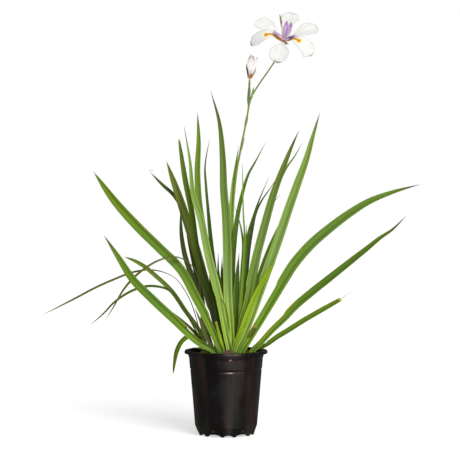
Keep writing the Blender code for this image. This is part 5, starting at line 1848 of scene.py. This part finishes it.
def make_bud_finish():
    made, tree, shader = new_finish("bud_petal", 0.6, 0.12, glow=PETAL_GLOW)
    across, along, seed = held(tree, "across along seed")
    lines = veins(across, along, seed, 6.0, 0.6)
    clouds = patches(vector_of(across, along * 3.0, seed), 2.2, 0.45, 0.62)
    skin = blend(lines * 0.35, BUD_WHITE, BUD_CREASE)
    skin = blend(stepped(along, 0.45, 0.2, 0.0, 0.6) * clouds, skin, BUD_VIOLET)
    edge = stepped(worked("ABSOLUTE", across), 0.75, 1.0, 0.0, 0.6)
    brown = worked("MAXIMUM", stepped(along, 0.86, 1.0) * (0.3 + clouds), edge * clouds)
    skin = blend(worked("MINIMUM", brown, 0.9), skin, BUD_TIP)
    normal = bumps(lines["Height"] + clouds, 0.5, 0.0003)
    feed(shader, {"Base Color": skin, "Emission Color": skin, "Normal": normal})
    return made


def make_sheath_finish():
    made, tree, shader = new_finish("bud_sheath", 0.6, 0.25)
    across, along, seed, gold = held(tree, "across along seed gold")
    lines = veins(across, along, seed, 9.0, 0.25)
    skin = blend(stepped(along, 0.35, 0.12), blend(gold, SHEATH_DARK, SHEATH_GOLD), SHEATH_ORANGE)
    skin = shaded(skin, 0.85 + lines * 0.25)
    feed(shader, {"Base Color": skin, "Normal": bumps(lines["Height"], 0.7, 0.0002)})
    return made


bud_petal_skin = make_bud_finish()
bud_sheath_skin = make_sheath_finish()
for finish in (bud_petal_skin, bud_sheath_skin):
    print(finish.name, "has", len(finish.node_tree.nodes), "nodes")

# %% Petals and sheaths of the bud
# Each petal: bearing, half span at its foot, stretch, lean at its tip, and layer.
BUD_PETALS = [
    (-100, 62, 1.00, 0.4, 0), (-20, 58, 0.93, 4.5, 1), (70, 60, 0.97, 2.0, 0), (150, 62, 1.05, -0.5, 1),
    (205, 50, 0.90, 1.0, 2),
]
BUD_LAYER = 0.45
BUD_PETAL_LINE = [(1.2, 0.5), (3.5, 7.0), (6.2, 16.0), (7.2, 25.0), (5.6, 34.0), (4.0, 40.0)]
BUD_CORE = [(0.3, 0.2), (1.4, 0.4), (3.4, 7.0), (6.0, 16.0), (6.8, 25.0), (4.6, 32.0), (0.3, 34.0)]
PETAL_SHARES = [1.0, 1.0, 0.95, 0.80, 0.52, 0.12]
# Each sheath: bearing, half span, how far it reaches up, and how golden it is.
BUD_SHEATHS = [(192, 54, 1.0, 0.0), (285, 34, 0.34, 0.7), (12, 42, 0.8, 1.0)]
BUD_SHEATH_LINE = [(1.2, -1.6), (2.8, -1.1), (5.4, 5.6), (8.4, 15.5), (9.3, 22.5)]
SHEATH_SHARES = [1.0, 1.0, 0.85, 0.55, 0.12]
BUD_FOOT = [(1.5, -1.9), (2.76, -1.7), (3.0, -1.3), (3.0, -0.5), (0.4, -0.2)]
BUD_THICKNESS = 0.5
PETAL_GRID = (44, 30)
SHEATH_GRID = (32, 26)
PETAL_CRUMPLE = 0.42
SHEATH_CRUMPLE = 0.12


def wrapped_grid(line, shares, size, crumple, seed, bearing, span, stretch=1.0, lean=0.0):
    """A sheet wrapped round the bud: span degrees each way at its foot."""
    rows, columns = size
    keys = np.linspace(0, 1, rows)
    joint = smooth_line([(r, h, s) for (r, h), s in zip(line, shares)], keys)[0]
    radius, height, share = joint.T[:, :, None]
    v = np.linspace(-1, 1, columns)
    u = keys[:, None]
    angle = np.radians(bearing + span * share * v)
    uneven = np.sin(9 * u + 4 * v + seed) + 0.6 * np.sin(21 * u - 7 * v + 2 * seed)
    grown = np.clip((u - 0.2) / 0.4, 0, 1)
    out = radius + lean * u**3 + crumple * uneven * grown
    height = height * stretch + 0.8 * crumple * np.sin(13 * v + seed) * grown
    return np.stack([out * np.cos(angle), out * np.sin(angle), height], axis=2), keys


def make_bud_petals():
    pieces = []
    for bearing, span, stretch, lean, layer in BUD_PETALS:
        seed = draws.uniform(0, 6)
        line = [(radius + BUD_LAYER * layer, height) for radius, height in BUD_PETAL_LINE]
        form = (PETAL_SHARES, PETAL_GRID, PETAL_CRUMPLE, seed, bearing, span, stretch, lean)
        grid, keys = wrapped_grid(line, *form)
        pieces.append(sheet_piece("bud_petal", grid, keys, BUD_THICKNESS, on_bud, bud_petal_skin, seed=seed))
    turns = full_turn(30)
    rise = np.linspace(0, 1, 20)
    rings = on_bud(turned_rings(smooth_line(BUD_CORE, rise)[0], turns))
    numbers = {"across": np.sin(turns), "along": 0.8 * rise[:, None], "seed": 0.0, "upper": 0.0}
    pieces.append(ring_surface("bud_core", rings, numbers, bud_petal_skin))
    return one_object("folded_bud", pieces)


def make_bud_sheaths():
    pieces = []
    for bearing, span, rise, gold in BUD_SHEATHS:
        seed = draws.uniform(0, 6)
        line = [BUD_SHEATH_LINE[0], *[(radius, height * rise) for radius, height in BUD_SHEATH_LINE[1:]]]
        grid, keys = wrapped_grid(line, SHEATH_SHARES, SHEATH_GRID, SHEATH_CRUMPLE, seed, bearing, span)
        look = {"seed": seed, "gold": gold}
        pieces.append(sheet_piece("sheath", grid, keys, BUD_THICKNESS, on_bud, bud_sheath_skin, **look))
    turns = full_turn(30)
    numbers = {"across": np.sin(turns), "along": 0.0, "seed": 1.0, "gold": 0.6, "upper": 1.0}
    pieces.append(ring_surface("bud_foot", on_bud(turned_rings(BUD_FOOT, turns)), numbers, bud_sheath_skin))
    return one_object("papery_sheaths", pieces)


seat_piece(make_bud_petals(), "bud_petal", "bud_petals")
seat_piece(make_bud_sheaths(), "bud_sheath", "bud_sheath")

# %% [markdown]
# ## Keep the size
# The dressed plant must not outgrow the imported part. Both boxes are written down so
# that they can be compared after every change.

# %% Compare the boxes and finish
dressed_low, dressed_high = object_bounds()
for axis, low, high, new_low, new_high in zip("xyz", cad_low, cad_high, dressed_low, dressed_high):
    print(axis, "packed", round(low, 4), round(high, 4), "dressed", round(new_low, 4), round(new_high, 4))
